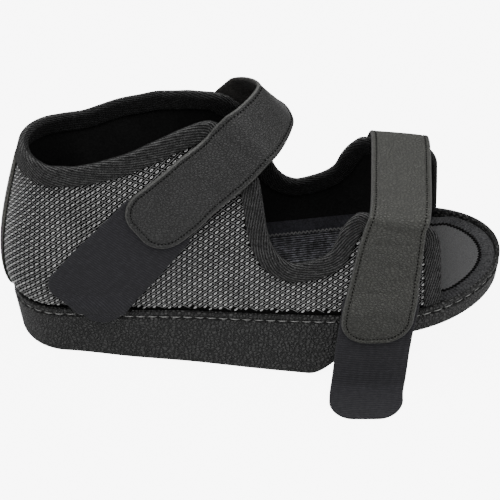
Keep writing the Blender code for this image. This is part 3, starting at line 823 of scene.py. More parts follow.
# Lighter leather on the straps' outer edge: a painted highlight where the rounded edge catches light.
STRAP_EDGE_HIGHLIGHT = Leather(
    "strap_edge_highlight", shade(0.046, 0.046, 0.044), shade(0.096, 0.096, 0.092), 0.55, 0.4, bump=0.4, depth=0.2, scale=820.0,
)
STRAP_LINING = Pile(
    "strap_lining", shade(0.002, 0.002, 0.002), shade(0.040, 0.037, 0.033), 0.9, 0.2, 0.1, bump=0.9, depth=0.8, scale=620.0,
)
BLACK_THREAD = Pile(
    "black_thread", shade(0.0005, 0.0005, 0.0005), shade(0.003, 0.003, 0.003), 0.8, 0.1, bump=0.3, depth=0.1, scale=2400.0,
)
HEEL_LEATHER = Leather(
    "heel_strip_leather", shade(0.045, 0.044, 0.038), shade(0.080, 0.079, 0.069), 0.5, 0.4, bump=0.6, depth=0.3, scale=1150.0,
)
LOOP_PILE = Knit(
    "loop_pile", shade(0.0215, 0.0212, 0.0238), shade(0.037, 0.0365, 0.0410), 0.95, 0.12, 0.08,
    bump=0.5, depth=0.4, pitch=(1.6, 4.0), turn=93.0,
)
TAPE_KNIT = Knit(
    "edge_tape_knit", shade(0.0005, 0.0005, 0.0005), shade(0.078, 0.078, 0.078), 0.85, 0.2, 0.1,
    bump=1.0, depth=1.0, pitch=(1.5, 1.9), turn=72.0,
)
TAPE_INSIDE = Knit(
    "edge_tape_inside", shade(0.001, 0.001, 0.001), shade(0.020, 0.020, 0.021), 0.9, 0.12, 0.05,
    bump=1.0, depth=0.8, pitch=(1.35, 2.0), turn=72.0,
)
WALL_CLOTH = Pile(
    "backing_cloth", shade(0.001, 0.001, 0.001), shade(0.005, 0.005, 0.005), 0.95, 0.1, bump=0.3, depth=0.2, scale=900.0,
)
LINING_CLOTH = Pile(
    "lining_cloth", shade(0.006, 0.006, 0.006), shade(0.016, 0.016, 0.016), 0.95, 0.1, bump=0.3, depth=0.2, scale=900.0,
)
MESH_YARN = Pile(
    "mesh_yarn", shade(0.30, 0.30, 0.30), shade(0.93, 0.93, 0.93), 0.6, 0.4, 0.1, bump=0.3, depth=0.1, scale=900.0,
)
MESH_CORD = Pile(
    "mesh_cord", shade(0.10, 0.10, 0.10), shade(0.38, 0.38, 0.38), 0.65, 0.35, 0.1, bump=0.3, depth=0.1, scale=900.0,
)
# Smooth toe panel of the insole: its smooth face is the cloth's own, its lighter tone is painted light on the open toe.
LIT_TOE_PANEL_CLOTH = Leather(
    "insole_panel", shade(0.040, 0.040, 0.041), shade(0.078, 0.078, 0.079), 0.62, 0.35, bump=0.25, depth=0.2, scale=1100.0,
)
# Ribbed midfoot of the insole: the ribs are the cloth's own, its darker tone is painted shade under the upper and the
# forefoot strap.
SHADED_RIB_CLOTH = Knit(
    "insole_ribs_painted_shade", shade(0.001, 0.001, 0.0015), shade(0.150, 0.150, 0.168), 0.8, 0.25,
    bump=1.0, depth=0.8, pitch=(2.2, 5.5), turn=6.0,
)
# Darker copy of the binding cloth for its part behind the forefoot strap: painted shade.
SHADED_BINDING_CLOTH = Pile(
    "insole_binding_painted_shade", shade(0.003, 0.003, 0.004), shade(0.024, 0.024, 0.030), 0.8, 0.2, bump=0.6, depth=0.3, scale=900.0,
)
GREY_THREAD = Pile(
    "grey_thread", shade(0.05, 0.05, 0.05), shade(0.16, 0.16, 0.16), 0.8, 0.1, bump=0.3, depth=0.1, scale=2400.0,
)
BINDING_CLOTH = Pile(
    "insole_binding", shade(0.006, 0.006, 0.007), shade(0.066, 0.066, 0.068), 0.8, 0.25, bump=0.6, depth=0.3, scale=900.0,
)


@dataclass
class Sole:
    """Wedge sole: rounded lip, groove, ridge, stitched channel, grained wall and tread."""

    columns: int = 620
    side: Table = (
        # inset, height over the rim
        (2.60, -7.0), (2.60, -1.1), (2.50, -0.55), (2.25, -0.15), (1.90, 0.00), (1.55, -0.06),
        (1.32, -0.28), (1.15, -0.30), (0.85, -0.02), (0.50, -0.06), (0.22, -0.40), (0.06, -0.90),
        (0.00, -1.60), (0.08, -2.20), (0.42, -2.60), (0.55, -2.85), (0.30, -3.15), (0.32, -3.35),
        (0.80, -3.60), (1.15, -4.00), (1.15, -4.50), (0.85, -4.95), (0.35, -5.25), (0.12, -5.70),
        (0.14, -6.30), (0.30, -7.00),
    )
    base: Table = (
        # block inset, forefoot inset, height over the base
        (3.40, 1.00, 3.40), (3.80, 1.18, 2.10), (4.40, 1.60, 1.00), (5.10, 2.20, 0.28), (6.00, 3.00, 0.00),
    )
    wall_rings: int = 9
    tread_pitch: float = 7.5
    tread_depth: float = 0.9
    tread_margin: float = 9.0
    stitch: Dashes = Dashes(7.1, 5.6, 0.85, 0.65, 0.1, 7)

    def rings(self, last: Last) -> np.ndarray:
        """Rings of the sole's side from the cup, over the lip and down to the base."""
        turn = last.turns(self.columns)
        rings = []
        for inset, over_rim in self.side:
            plan = last.plan_point(turn, np.full(turn.shape, inset))
            rings.append(np.column_stack([plan, last.rim_height(plan[:, 0]) + over_rim]))
        raised = ease(last.plan_point(turn, None)[:, 0], last.block_end, last.block_end + last.block_front_run)
        feet = []
        for block_inset, forefoot_inset, over_base in self.base:
            plan = last.plan_point(turn, block_inset + (forefoot_inset - block_inset) * raised)
            feet.append(np.column_stack([plan, last.base_height(plan[:, 0]) + over_base]))
        for share in np.linspace(0, 1, self.wall_rings + 2)[1:-1]:
            rings.append(rings[len(self.side) - 1] * (1 - share) + feet[0] * share)
        return np.array(rings + feet)

    def tread(self, last: Last, ring: np.ndarray) -> Shape:
        """Underside with shallow grooves across it, cut upwards so that its bars stay on the floor."""
        half = self.columns // 2
        near, far = ring[:half], ring[::-1][:half]
        share = np.linspace(0, 1, 41)[None, :, None]
        rows = near[:, None] * (1 - share) + far[:, None] * share
        along, across = rows[..., 0], rows[..., 1]
        edge = np.minimum(across - rows[:, :1, 1], rows[:, -1:, 1] - across)
        wave = 0.5 + 0.5 * np.cos(math.tau * (along + 0.02 * across ** 2 / 10) / self.tread_pitch)
        inside = ease(edge, self.tread_margin * 0.55, self.tread_margin) * ease(last.sole_length - along, 14, 20) * ease(along, 12, 18)
        front = 1 - ease(along, last.block_end - 8, last.block_end - 2) + ease(along, last.block_end + last.block_front_run + 2, last.block_end + last.block_front_run + 8)
        height = last.base_height(along) + self.tread_depth * ease(wave, 0.55, 0.8) * inside * front
        rows = np.concatenate([rows[..., :2], np.maximum(height, rows[..., 2] * 0)[..., None]], axis=-1)
        rows[:, 0], rows[:, -1] = near, far
        return Shape(rows.reshape(-1, 3), grid_faces(half, 41))

    def build(self, shop: Workshop) -> None:
        """Make the sole and its seam."""
        last = shop.last
        rings = self.rings(last)
        count = rings.shape[1]
        faces = np.concatenate([grid_faces(len(rings), count, wrap=True), zip_faces(np.arange(count))[:, ::-1]])
        side = Shape(rings.reshape(-1, 3), faces, kind=np.zeros(len(faces), dtype=np.int32))
        tread = self.tread(last, rings[-1])
        tread.faces = tread.faces if self.same_way(side, tread, last) else tread.faces[:, ::-1]
        tread.kind = np.ones(len(tread.faces), dtype=np.int32)
        body = shop.place(side.joined(tread), "sole_body", "sole_rubber", [SOLE_LEATHER, SOLE_TREAD], weld=True, sharp=50)
        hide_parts("sole")
        turn = last.turns(1200)
        plan = last.plan_point(turn, np.full(turn.shape, 1.1))
        outer = last.plan_point(turn, np.zeros(turn.shape))
        line = np.column_stack([plan, last.rim_height(plan[:, 0]) - 4.25])
        outward = np.column_stack([outer - plan, np.zeros(len(turn))])
        shop.place(self.stitch.shape(line, outward), "sole_seam", "sole_rubber", [SOLE_THREAD])

    @staticmethod
    def same_way(side: Shape, tread: Shape, last: Last) -> bool:
        """Whether the tread's faces turn the same way out as the side's."""
        a, b, c, d = (side.points[side.faces[:, k]] for k in range(4))
        volume = np.sum(a * np.cross(b, c)) + np.sum(a * np.cross(c, d))
        p, q, r, _ = (tread.points[tread.faces[:, k]] for k in range(4))
        down = np.sum(np.cross(q - p, r - p)[:, 2])
        return (down < 0) == (volume > 0)


@dataclass
class Insole:
    """Insole in the cup: smooth toe, ribbed midfoot, ribbed binding and a zigzag seam, its midfoot and the binding
    behind the forefoot strap in painted shade and its toe in painted light.
    """

    drop: float = 2.0
    step: float = 0.6
    band: float = 9.5
    rib_pitch: float = 2.1
    rib_height: float = 0.8
    columns: int = 1360
    zigzag_pitch: float = 2.4
    cup: float = 4.5
    zigzag_reach: float = 1.7

    def edge_inset(self, last: Last, along: np.ndarray) -> np.ndarray:
        """Distance of the insole's edge in from the outline: inside the upper, then inside the lip."""
        inside = last.foot_inset + last.wall_thickness + last.gap
        at_toe = last.lip_width + last.gap
        start = last.upper_front + 2.0
        return inside + (at_toe - inside) * ease(along, start, start + 10.0)

    def ring(self, last: Last, turn: np.ndarray, inset: np.ndarray, over_rim: np.ndarray) -> np.ndarray:
        """Points round the insole at a distance in from its edge and a height over the rim."""
        along = last.plan_point(turn, np.full(turn.shape, last.foot_inset))[:, 0]
        plan = last.plan_point(turn, self.edge_inset(last, along) + inset)
        return np.column_stack([plan, last.rim_height(plan[:, 0]) + over_rim])

    def build(self, shop: Workshop) -> None:
        """Make the panel, the binding round it and its zigzag seam."""
        last = shop.last
        turn = last.turns(self.columns)
        middle = self.ring(last, turn, np.full(turn.shape, 4.0), np.zeros(turn.shape))
        gone = lengths(middle)
        rib = np.cos(math.tau * np.round(gone[-1] / self.rib_pitch) * gone / gone[-1])
        inside = 1 - ease(middle[:, 0], 222.0, 246.0)
        profile = (
            # inset, height, share of the rib
            (0.0, last.gap - last.cup_depth, 0.0), (0.0, -self.drop - 1.2, 0.0), (0.25, -self.drop - 0.7, 0.2),
            (0.9, -self.drop - 0.35, 0.6), (2.0, -self.drop - 0.15, 1.0), (4.0, -self.drop - 0.1, 1.0),
            (6.5, -self.drop - 0.12, 1.0), (8.4, -self.drop - 0.25, 0.9), (9.2, -self.drop - 0.6, 0.4),
            (9.6, -self.drop - 1.3, 0.0), (9.6, last.gap - last.cup_depth, 0.0),
        )
        rings = []
        for inset, height, share in profile:
            teeth = 0.45 * rib * ease(np.array(inset), 8.0, 9.0)
            cupped = self.cup * np.clip(1 - inset / 6.5, 0, 1) ** 2 * inside if height > -self.drop - 1.25 else 0.0
            rings.append(self.ring(last, turn, inset + teeth, height + cupped + 0.5 * share * self.rib_height * (rib - 1)))
        rings = np.array(rings)
        count = len(rings)
        faces = np.concatenate([grid_faces(count, self.columns, wrap=True), self.closing(count)])
        binding = Shape(rings.reshape(-1, 3), faces)
        binding.kind = self.behind(binding)
        # The binding's faces behind the forefoot strap take the darker copy of its cloth, a painted shade.
        piece = shop.place(binding, "insole_binding", "insole_cloth", [BINDING_CLOTH, SHADED_BINDING_CLOTH])
        half = self.columns // 4
        coarse = last.turns(half * 2)
        edge = self.ring(last, coarse, np.full(coarse.shape, self.band - 0.2), np.full(coarse.shape, -self.drop - self.step))
        near, far = edge[:half], edge[::-1][:half]
        share = np.linspace(0, 1, 61)[None, :, None]
        rows = near[:, None] * (1 - share) + far[:, None] * share
        along, across = rows[..., 0], rows[..., 1]
        ribbed = 1 - ease(along, 228, 236)
        wave = np.cos(math.tau * (across + 0.8 * np.sin(along / 7.0) + 0.5 * np.sin(along / 2.9 + across / 9)) / 2.4)
        rise = last.rim_height(along) - self.drop - self.step + 0.22 * wave * ribbed - 0.25 * ribbed
        rise = rise + 0.35 * np.sin(math.pi * share[..., 0]) ** 0.5 * (1 - ribbed)
        top = np.stack([along, across, rise], axis=-1)
        low = top.copy()
        low[..., 2] = last.rim_height(along) - last.cup_depth + last.gap
        rings = np.concatenate([top, low[:, ::-1]], axis=1)
        flat = np.stack([across, along], axis=-1) * 0.01
        panel = skin(rings, np.concatenate([flat, flat[:, ::-1]], axis=1))
        centre = panel.points[panel.faces].mean(axis=1)
        # Faces behind x = 232 take the ribbed cloth in painted shade, the toe the smooth cloth in painted light.
        panel.kind = (centre[:, 0] < 232).astype(np.int32)
        pad = shop.place(panel, "insole_panel", "insole_cloth", [LIT_TOE_PANEL_CLOTH, SHADED_RIB_CLOTH], sharp=50)
        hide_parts("insole")
        self.seam(shop)
        log.info("insole: %s lies round %s", piece.name, pad.name)

    def closing(self, count: int) -> np.ndarray:
        """Faces between the binding's last ring and its first."""
        i = np.arange(self.columns)
        j = (i + 1) % self.columns
        last = (count - 1) * self.columns
        return np.stack([last + i, last + j, j, i], axis=-1)

    def seam(self, shop: Workshop) -> None:
        """Black zigzag thread over the binding's inner edge, in an overlock's teeth."""
        last = shop.last
        fine = last.turns(4000)
        line = self.ring(last, fine, np.full(fine.shape, self.band - 0.6), np.full(fine.shape, -self.drop))
        gone = lengths(line)
        count = int(gone[-1] // self.zigzag_pitch) * 4
        phase = np.arange(count) % 4
        at = gone[-1] * (np.arange(count) + 0.5) / count
        place = np.interp(at, gone, fine)
        inset = self.band - 0.5 + self.zigzag_reach * 0.5 * np.array([-1.0, 0.0, 1.0, 0.0])[phase]
        height = -self.drop + np.array([0.0, -0.1, -0.45, -0.1])[phase]
        points = self.ring(last, place, inset, height)
        seam = thread(points, 0.5, 6)
        seam.kind = self.behind(seam)
        shop.place(seam, "insole_zigzag", "insole_cloth", [BLACK_THREAD, GREY_THREAD])

    @staticmethod
    def behind(shape: Shape) -> np.ndarray:
        """Kind 1 for the faces behind the forefoot strap's middle, where the insole is painted darker as shade under
        the strap and upper.
        """
        return (shape.points[shape.faces].mean(axis=1)[:, 0] < 228.0).astype(np.int32)


@dataclass
class Upper:
    """Wall of the upper with its lining, and the open mesh of loops and cords on it."""

    path_points: int = 760
    rows: int = 22
    sink: float = 0.4
    column_pitch: float = 3.05
    row_pitch: float = 4.45
    foot: float = 1.4
    loop_length: float = 2.45
    loop_width: float = 1.10
    loop_turn: float = 38.0
    cord_radius: float = 0.155
    shear: float = 0.17
    shear_from: float = 75.0
    heel_shear: float = 0.55
    heel_end: float = 62.0

    def build(self, shop: Workshop) -> None:
        """Make the wall, the loops and the cords."""
        last = shop.last
        way, up = last.edge_path(self.path_points, 0.8)
        ends = np.array([way[0], way[-1]])
        inside = (way > ends[0] + last.gap) & (way < ends[1] - last.gap)
        corner = last.edge_height(ends)
        way = np.concatenate([ends[:1], way[inside], ends[1:]])
        up = np.concatenate([corner[:1], up[inside], corner[1:]])
        shares = np.linspace(0, 1, self.rows) ** 1.25
        heights = np.concatenate([np.full((1, len(way)), last.gap - last.cup_depth), up * shares[:, None]])
        ways = np.broadcast_to(way, heights.shape)
        outer = last.cloth(ways, heights, -self.sink * ease(heights, 0.0, 2.0))
        inner = last.wall(ways, heights, -last.wall_thickness)
        rings = np.concatenate([outer, inner[::-1]], axis=0).transpose(1, 0, 2)
        flat = np.stack([ways, heights], axis=-1) * 0.01
        flat = np.concatenate([flat, flat[::-1]], axis=0).transpose(1, 0, 2)
        made = skin(rings, flat)
        count = rings.shape[1]
        column = np.tile(np.arange(count), len(rings) - 1)
        made.kind = np.zeros(len(made.faces), dtype=np.int32)
        made.kind[: len(column)] = column >= count // 2
        wall = shop.place(made, "upper_wall", "mesh_cloth", [WALL_CLOTH, LINING_CLOTH], sharp=50)
        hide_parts("upper")
        for side in Side:
            self.mesh(shop, side)

    def slant(self, way: np.ndarray) -> np.ndarray:
        """Rise of the mesh's rows: a straight one past shear_from, a curved one at the heel."""
        gone = np.abs(way)
        heel = np.clip(self.heel_end - gone, 0, None)
        return self.shear * np.clip(gone - self.shear_from, 0, None) - self.heel_shear * heel ** 2 / (2 * self.heel_end)

    def lattice(self, last: Last, side: Side) -> tuple[np.ndarray, np.ndarray]:
        """Places of the loops on one side, in columns of which every second is half a step up."""
        end = abs(last.way_to(last.upper_front, side))
        i, j = np.meshgrid(np.arange(int(end / self.column_pitch) + 1), np.arange(-1, 30), indexing="ij")
        way = (i + 0.5) * self.column_pitch
        up = self.foot + (j + 0.5 * (i % 2)) * self.row_pitch + np.mod(self.slant(way), self.row_pitch)
        return side.value * way.ravel(), up.ravel()

    def covered(self, last: Last, way: np.ndarray, up: np.ndarray) -> np.ndarray:
        """Whether places lie on the open mesh, clear of the edge and down to the rim."""
        edge = np.stack(last.edge_path(900, 0.8), axis=-1)
        place = np.stack([way, up], axis=-1)
        near = np.min(np.linalg.norm(place[:, None] - edge[None], axis=-1), axis=1)
        return (up > 0.9) & (up < last.edge_height(way)) & (near > 8.9)

    def mesh(self, shop: Workshop, side: Side) -> None:
        """Loops and slanting cords on one side, set on the wall as joined meshes."""
        last = shop.last
        way, up = self.lattice(last, side)
        good = self.covered(last, way, up)
        shop.place(self.loops(last, way[good], up[good], side), f"mesh_loops_{side.name.lower()}", "mesh_cloth", [MESH_YARN])
        turned = self.slant(np.abs(way) + self.column_pitch) - self.slant(way)
        over = np.full(way.shape, self.column_pitch * side.value)
        forward = np.stack([over, turned + self.row_pitch / 2], axis=-1)
        downward = np.stack([over, turned - self.row_pitch / 2], axis=-1)
        start = np.stack([way, up], axis=-1)
        lines = []
        middle = self.row_pitch / 2
        for on, out, radius in ((forward, 0.05, self.cord_radius), (downward, -0.05, self.cord_radius * 0.62)):
            first = start + [0.0, middle]
            second = first + on
            keep = self.covered(last, first[:, 0], first[:, 1]) & self.covered(last, second[:, 0], second[:, 1])
            lines.append(self.cords(last, first[keep], second[keep], out, radius))
        shop.place(lines[0].joined(lines[1]), f"mesh_cords_{side.name.lower()}", "mesh_cloth", [MESH_CORD])

    def loops(self, last: Last, way: np.ndarray, up: np.ndarray, side: Side) -> Shape:
        """Oval loops: a crest ring between a sunk outer rim and a dimple.

        A point of the ring at angle t is (a r cos t, b r sin t), turned by the loop's slant.
        """
        turn = np.arange(8) * np.pi / 4
        slant = math.radians(self.loop_turn) * side.value
        rings = []
        for reach, out in ((1.0, -0.45), (0.78, 0.2), (0.5, 0.0), (0.36, -0.45)):
            a = self.loop_length / 2 * reach * np.cos(turn)
            b = self.loop_width / 2 * reach * np.sin(turn)
            place_way = way[:, None] + a * math.cos(slant) - b * math.sin(slant)
            place_up = up[:, None] + a * math.sin(slant) + b * math.cos(slant)
            rings.append(last.cloth(place_way, place_up, out))
        rings = np.stack(rings, axis=1)
        under = np.stack([np.arange(8) + 24, (np.arange(8) + 1) % 8 + 24, (np.arange(8) + 1) % 8, np.arange(8)], -1)
        one = np.concatenate([grid_faces(4, 8, wrap=True), under])
        every = one[None] + (np.arange(len(way)) * 32)[:, None, None]
        return Shape(rings.reshape(-1, 3), every.reshape(-1, 4))

    def cords(self, last: Last, first: np.ndarray, second: np.ndarray, out: float, r: float) -> Shape:
        """Short four-sided cords between pairs of places, an ear on each end to overlap the next."""
        share = np.array([-0.06, 0.5, 1.06])[None, :, None]
        line = first[:, None] * (1 - share) + second[:, None] * share
        ahead = unit(second - first)[:, None]
        aside = np.stack([-ahead[..., 1], ahead[..., 0]], axis=-1)
        rings = []
        for across, high in ((-r, -0.42), (-0.5 * r, out + 0.05), (0.5 * r, out + 0.05), (r, -0.42)):
            place = line + aside * across
            rings.append(last.cloth(place[..., 0], place[..., 1], high))
        rings = np.stack(rings, axis=2)
        one = skin(rings[0]).faces
        every = one[None] + (np.arange(len(first)) * 12)[:, None, None]
        return Shape(rings.reshape(-1, 3), every.reshape(-1, 4))


@dataclass
class EdgeTape:
    """Knitted tape folded over the whole edge of the upper."""

    width: float = 10.0
    thickness: float = 1.0
    gap: float = 0.45
    foot: float = 0.8
    points: int = 1500

    def section(self, last: Last) -> np.ndarray:
        """Closed section (inward, outward): over the outside, round the edge and back within."""
        full = self.gap + self.thickness
        wall = last.wall_thickness
        bow = np.linspace(0, np.pi, 11)
        outside = [(self.width, self.gap + 0.2), (self.width - 0.05, full - 0.35), (self.width - 0.5, full - 0.05)]
        outside += [(x, full) for x in (8.6, 7.0, 5.2, 3.4, 1.8)]
        round_it = [(0.4 - 1.75 * math.sin(t), -wall / 2 + (wall / 2 + full) * math.cos(t)) for t in bow]
        within = [(x, -wall - full) for x in (1.8, 3.4, 5.2, 7.0, 8.6)]
        within += [(self.width - 0.5, -wall - full + 0.05), (self.width - 0.05, -wall - full + 0.35), (self.width, -wall - self.gap - 0.2)]
        back = [(self.width - 0.3, -wall - self.gap), (0.3, -wall - self.gap), (-0.4, -wall / 2)]
        back += [(0.3, self.gap), (self.width - 0.3, self.gap)]
        return np.array(outside + round_it + within + back)

    def build(self, shop: Workshop) -> None:
        """Make the tape: its section carried along the edge, square to it."""
        last = shop.last
        way, up = last.edge_path(self.points, self.foot)
        gone = lengths(np.stack([way, up], axis=-1))
        along, rise = np.gradient(way), np.gradient(up)
        size = np.hypot(along, rise)
        kernel = np.hanning(41) / np.hanning(41).sum()
        inner_way = np.convolve(np.pad(rise / size, 20, mode="edge"), kernel, mode="valid")
        inner_up = np.convolve(np.pad(-along / size, 20, mode="edge"), kernel, mode="valid")
        rings, flats = [], []
        wave = 0.06 * np.cos(math.tau * gone / 1.6)
        reach = 0.0
        section = self.section(last)
        for k, (inward, outward) in enumerate(section):
            side = 1.0 if outward > -last.wall_thickness / 2 else -1.0
            rib = wave * side if k < len(section) - 5 else 0.0
            rings.append(last.wall(way + inward * inner_way, up + inward * inner_up, outward + rib))
            if k:
                reach += float(np.hypot(*(section[k] - section[k - 1])))
            flats.append(np.stack([gone, np.full(len(gone), reach)], axis=-1) * 0.01)
        made = skin(np.array(rings).transpose(1, 0, 2), np.array(flats).transpose(1, 0, 2))
        column = np.tile(np.arange(len(section)), len(way) - 1)
        made.kind = np.zeros(len(made.faces), dtype=np.int32)
        made.kind[: len(column)] = (column > 12) & (column < 27)
        tape = shop.place(made, "edge_tape_knit", "tape_cloth", [TAPE_KNIT, TAPE_INSIDE], sharp=60)
        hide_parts("edge_tape")


@dataclass
class HeelStrip:
    """Leather strip down the back of the heel, edged with a black line of thread."""

    width: float = 22.0
    thickness: float = 1.2
    gap: float = 0.6
    foot: float = 3.0
    tape_width: float = 10.0

    def build(self, shop: Workshop) -> None:
        """Make the strip and its two seams."""
        last = shop.last
        across = border_shares(27) * self.width
        top = last.edge_height(across) - self.tape_width - last.gap
        share = np.linspace(0, 1, 90)[:, None]
        up = self.foot + (top - self.foot) * share
        way = np.broadcast_to(across, up.shape)
        under = last.wall(way, up, self.gap)
        side = self.width / 2 - np.abs(way)
        ends = np.minimum(up - self.foot, top - up)
        band = Band(under, np.minimum(side, ends), self.thickness, 0.7)
        square = np.cross(np.gradient(under, axis=0), np.gradient(under, axis=1))
        band.outward = unit(square) * -np.sign(square[0, 13, 0])
        flat = np.stack([way, up], axis=-1) * 0.01
        relief = -0.35 * np.exp(-((side - 1.6) / 0.4) ** 2)
        strip = shop.place(band.shape(flat, relief), "heel_strip_leather", "leather", [HEEL_LEATHER, HEEL_LEATHER])
        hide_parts("heel_strip")
        seams = None
        for sign in (-1, 1):
            ways = np.full(200, sign * (self.width / 2 - 1.6))
            ups = np.linspace(self.foot + 2, float(last.edge_height(ways[:1])[0]) - self.tape_width - 2, 200)
            line = last.wall(ways, ups, self.gap + self.thickness - 0.3)
            out = last.wall(ways, ups, 3.0) - last.wall(ways, ups, 2.0)
            made = Dashes(3.1, 2.5, 0.75, 0.55, 0.12).shape(line, out)
            seams = made if seams is None else seams.joined(made)
        shop.place(seams, "heel_strip_seams", "leather", [BLACK_THREAD])


@dataclass
class Strap:
    """Leather strap from its near tip over the opening to its root on the far side."""

    name: str
    path: Table
    top: Table
    squareness: float
    root: float
    over_tape: bool
    width: float = 42.0
    thickness: float = 2.2
    corner: float = 16.0
    root_rise: float = 2.5
    tab_thickness: float = 2.0
    clears_rim: float = 4.0
    on_wall: float = 24.0
    seam_inset: float = 3.1
    counts: tuple[int, int, int] = (90, 90, 90)
    finish: Finish = ANKLE_LEATHER
    # Width of the edge painted lighter as a highlight.
    rim: float = 0.75
    columns: int = 45
    wrinkles: Table = ()

    def middle_line(self, last: Last, rows: Table, side: Side, count: int, corner: float) -> tuple[np.ndarray, np.ndarray, np.ndarray]:
        """Middle of half the strap, evenly spaced, closer together in the rounded tip.

        Args:
            last: the last.
            rows: table of forward share, rise share and width share.
            side: side of the shoe.
            count: number of points past the tip.
            corner: radius of the tip's corners, or 0 for a straight end.

        Returns:
            Places (way, up), width lost to the corners, and distance from the end.
        """
        table = []
        gone = 0.0
        for along, rise, width in rows:
            place = (last.way_to(along * last.sole_length, side), rise * last.quarter_rise)
            if table:
                gone += math.hypot(place[0] - table[-1][1], place[1] - table[-1][2])
            table.append((gone, *place, width * self.width))
        at = np.linspace(corner, gone, count)
        lost = np.zeros(count)
        if corner:
            turn = np.linspace(0.03, np.pi / 2, 30)[:-1]
            at = np.concatenate([corner * (1 - np.cos(turn)), at])
            lost = np.concatenate([2 * corner * (1 - np.sin(turn)), lost])
        way, up, width = (smooth(tuple(table), column, at) for column in (1, 2, 3))
        return np.stack([way, up, width], axis=-1), lost, at

    def across(self, path: np.ndarray, widths: np.ndarray, level: np.ndarray) -> np.ndarray:
        """Places (way, up) across the strap, square to its path or, where level is 1, level."""
        ahead = unit(np.gradient(path, axis=0))
        square = np.stack([ahead[:, 1], -ahead[:, 0]], axis=-1)
        flat = np.stack([1 / ahead[:, 1], np.zeros(len(path))], axis=-1)
        square = square + (flat - square) * level[:, None]
        return path[:, None, :] + square[:, None, :] * (widths[:, None] * border_shares(self.columns))[..., None]

    def grid(self, last: Last) -> tuple[np.ndarray, np.ndarray]:
        """Under face of the strap and the distance of each point from its outline."""
        stands = last.lip_width + 4 * last.gap + self.tab_thickness + 2 * last.gap
        clearance = self.tab_thickness + 2.4 * last.gap
        root_out = 2 * last.gap + (1.45 if self.over_tape else 0.0)
        rows, lost, at = self.middle_line(last, self.path, Side.NEAR, self.counts[0], self.corner)
        place = self.across(rows[:, :2], rows[:, 2] - lost, np.zeros(len(rows)))
        out = clearance + (stands - clearance) * (1 - ease(place[..., 1], self.clears_rim, self.on_wall))
        near = last.wall(place[..., 0], place[..., 1], out)
        side = rows[:, 2:] / 2 - np.abs(border_shares(self.columns)) * (rows[:, 2:] - lost[:, None])
        reach_near = rounded_reach(np.broadcast_to(at[:, None], side.shape), side, self.corner)
        start = (self.root, self.root_rise / last.quarter_rise, 1.0)
        far_rows = (start,) + tuple(row for row in self.path[1:] if row[1] > 0.1)
        rows, _, _ = self.middle_line(last, far_rows, Side.FAR, self.counts[2], 0.0)
        level = 1 - ease(np.linspace(0, 9, self.counts[2]), 0.0, 6.0)
        place = self.across(rows[:, :2], rows[:, 2], level)[:, ::-1]
        out = root_out + (clearance - root_out) * ease(place[..., 1] / last.quarter_rise, 0.2, 0.5)
        far = last.wall(place[..., 0], place[..., 1], out)[::-1]
        reach_far = (rows[::-1, 2:] * (0.5 - np.abs(border_shares(self.columns))))
        share = 0.5 - border_shares(self.columns)
        along = last.sole_length * np.interp(share, (0, 1), (self.top[0][0], self.top[1][0]))
        rise = last.quarter_rise * np.interp(share, (0, 1), (self.top[0][1], self.top[1][1]))
        middle = (near[-1] + far[0]) / 2
        crest = np.stack([along, middle[:, 1], last.rim_height(along) + rise], axis=-1)
        turn = np.linspace(0, np.pi, self.counts[1] + 2)[1:-1, None, None]
        aside = np.sign(np.cos(turn)) * np.abs(np.cos(turn)) ** (2 / self.squareness)
        lift = np.sin(turn) ** (2 / self.squareness)
        over = middle + (near[-1] - far[0]) / 2 * aside + (crest - middle) * lift
        blend = np.linspace(0, 1, self.counts[1])[:, None]
        reach_over = reach_near[-1] * (1 - blend) + reach_far[0] * blend
        return np.concatenate([near, over, far]), np.concatenate([reach_near, reach_over, reach_far])

    def build(self, shop: Workshop) -> None:
        """Make the strap with its folded border, its edge painted lighter as a highlight, and the two rows of black
        stitches.
        """
        last = shop.last
        under, reach = self.grid(last)
        under, reach = self.even(under, reach)
        band = Band(under, reach, self.thickness, 1.1, self.rim)
        relief = 0.3 * np.exp(-((reach - 1.7) / 0.8) ** 2) - 0.5 * np.exp(-((reach - self.seam_inset) / 0.5) ** 2)
        gone = lengths(under[:, under.shape[1] // 2])
        across = np.concatenate([np.zeros((len(under), 1)), np.cumsum(np.linalg.norm(np.diff(under, axis=1), axis=-1), axis=1)], axis=1)
        across = across - across[:, -1:] / 2
        relief = relief + self.folds(gone[:, None], across) * ease(reach, 3.5, 8.0)
        flat = np.stack([across, np.broadcast_to(gone[:, None], across.shape)], axis=-1) * 0.01
        # The third finish, a lighter leather on the outer edge, is a painted highlight where the rounded edge catches
        # light.
        finishes = [self.finish, STRAP_LINING, STRAP_EDGE_HIGHLIGHT]
        strap = shop.place(band.shape(flat, relief), self.name + "_leather", "leather", finishes)
        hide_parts(self.name)
        line, out = self.seam(band.top(relief), band.outward, reach)
        shop.place(Dashes(2.1, 1.25, 0.8, 0.65, 0.03).shape(line, out), self.name + "_seam", "leather", [BLACK_THREAD])

    def even(self, under: np.ndarray, reach: np.ndarray) -> tuple[np.ndarray, np.ndarray]:
        """Rows respaced evenly past the tip, where the crest's curve had bunched them."""
        keep = 29
        gone = lengths(under[:, under.shape[1] // 2])
        at = np.concatenate([gone[:keep], np.linspace(gone[keep], gone[-1], len(gone) - keep)])
        rows = follow(at, gone, under.reshape(len(under), -1)).reshape(under.shape)
        return rows, follow(at, gone, reach)

    def folds(self, gone: np.ndarray, across: np.ndarray) -> np.ndarray:
        """Soft wrinkles across the strap, each depth exp(-(a/length)^2 - (b/width)^2)."""
        total = np.zeros(np.broadcast(gone, across).shape)
        for place, aside, length, width, turn, depth in self.wrinkles:
            c, s = math.cos(math.radians(turn)), math.sin(math.radians(turn))
            a = (across - aside) * c + (gone - place) * s
            b = (gone - place) * c - (across - aside) * s
            total -= depth * np.exp(-(a / length) ** 2 - (b / width) ** 2)
        return total

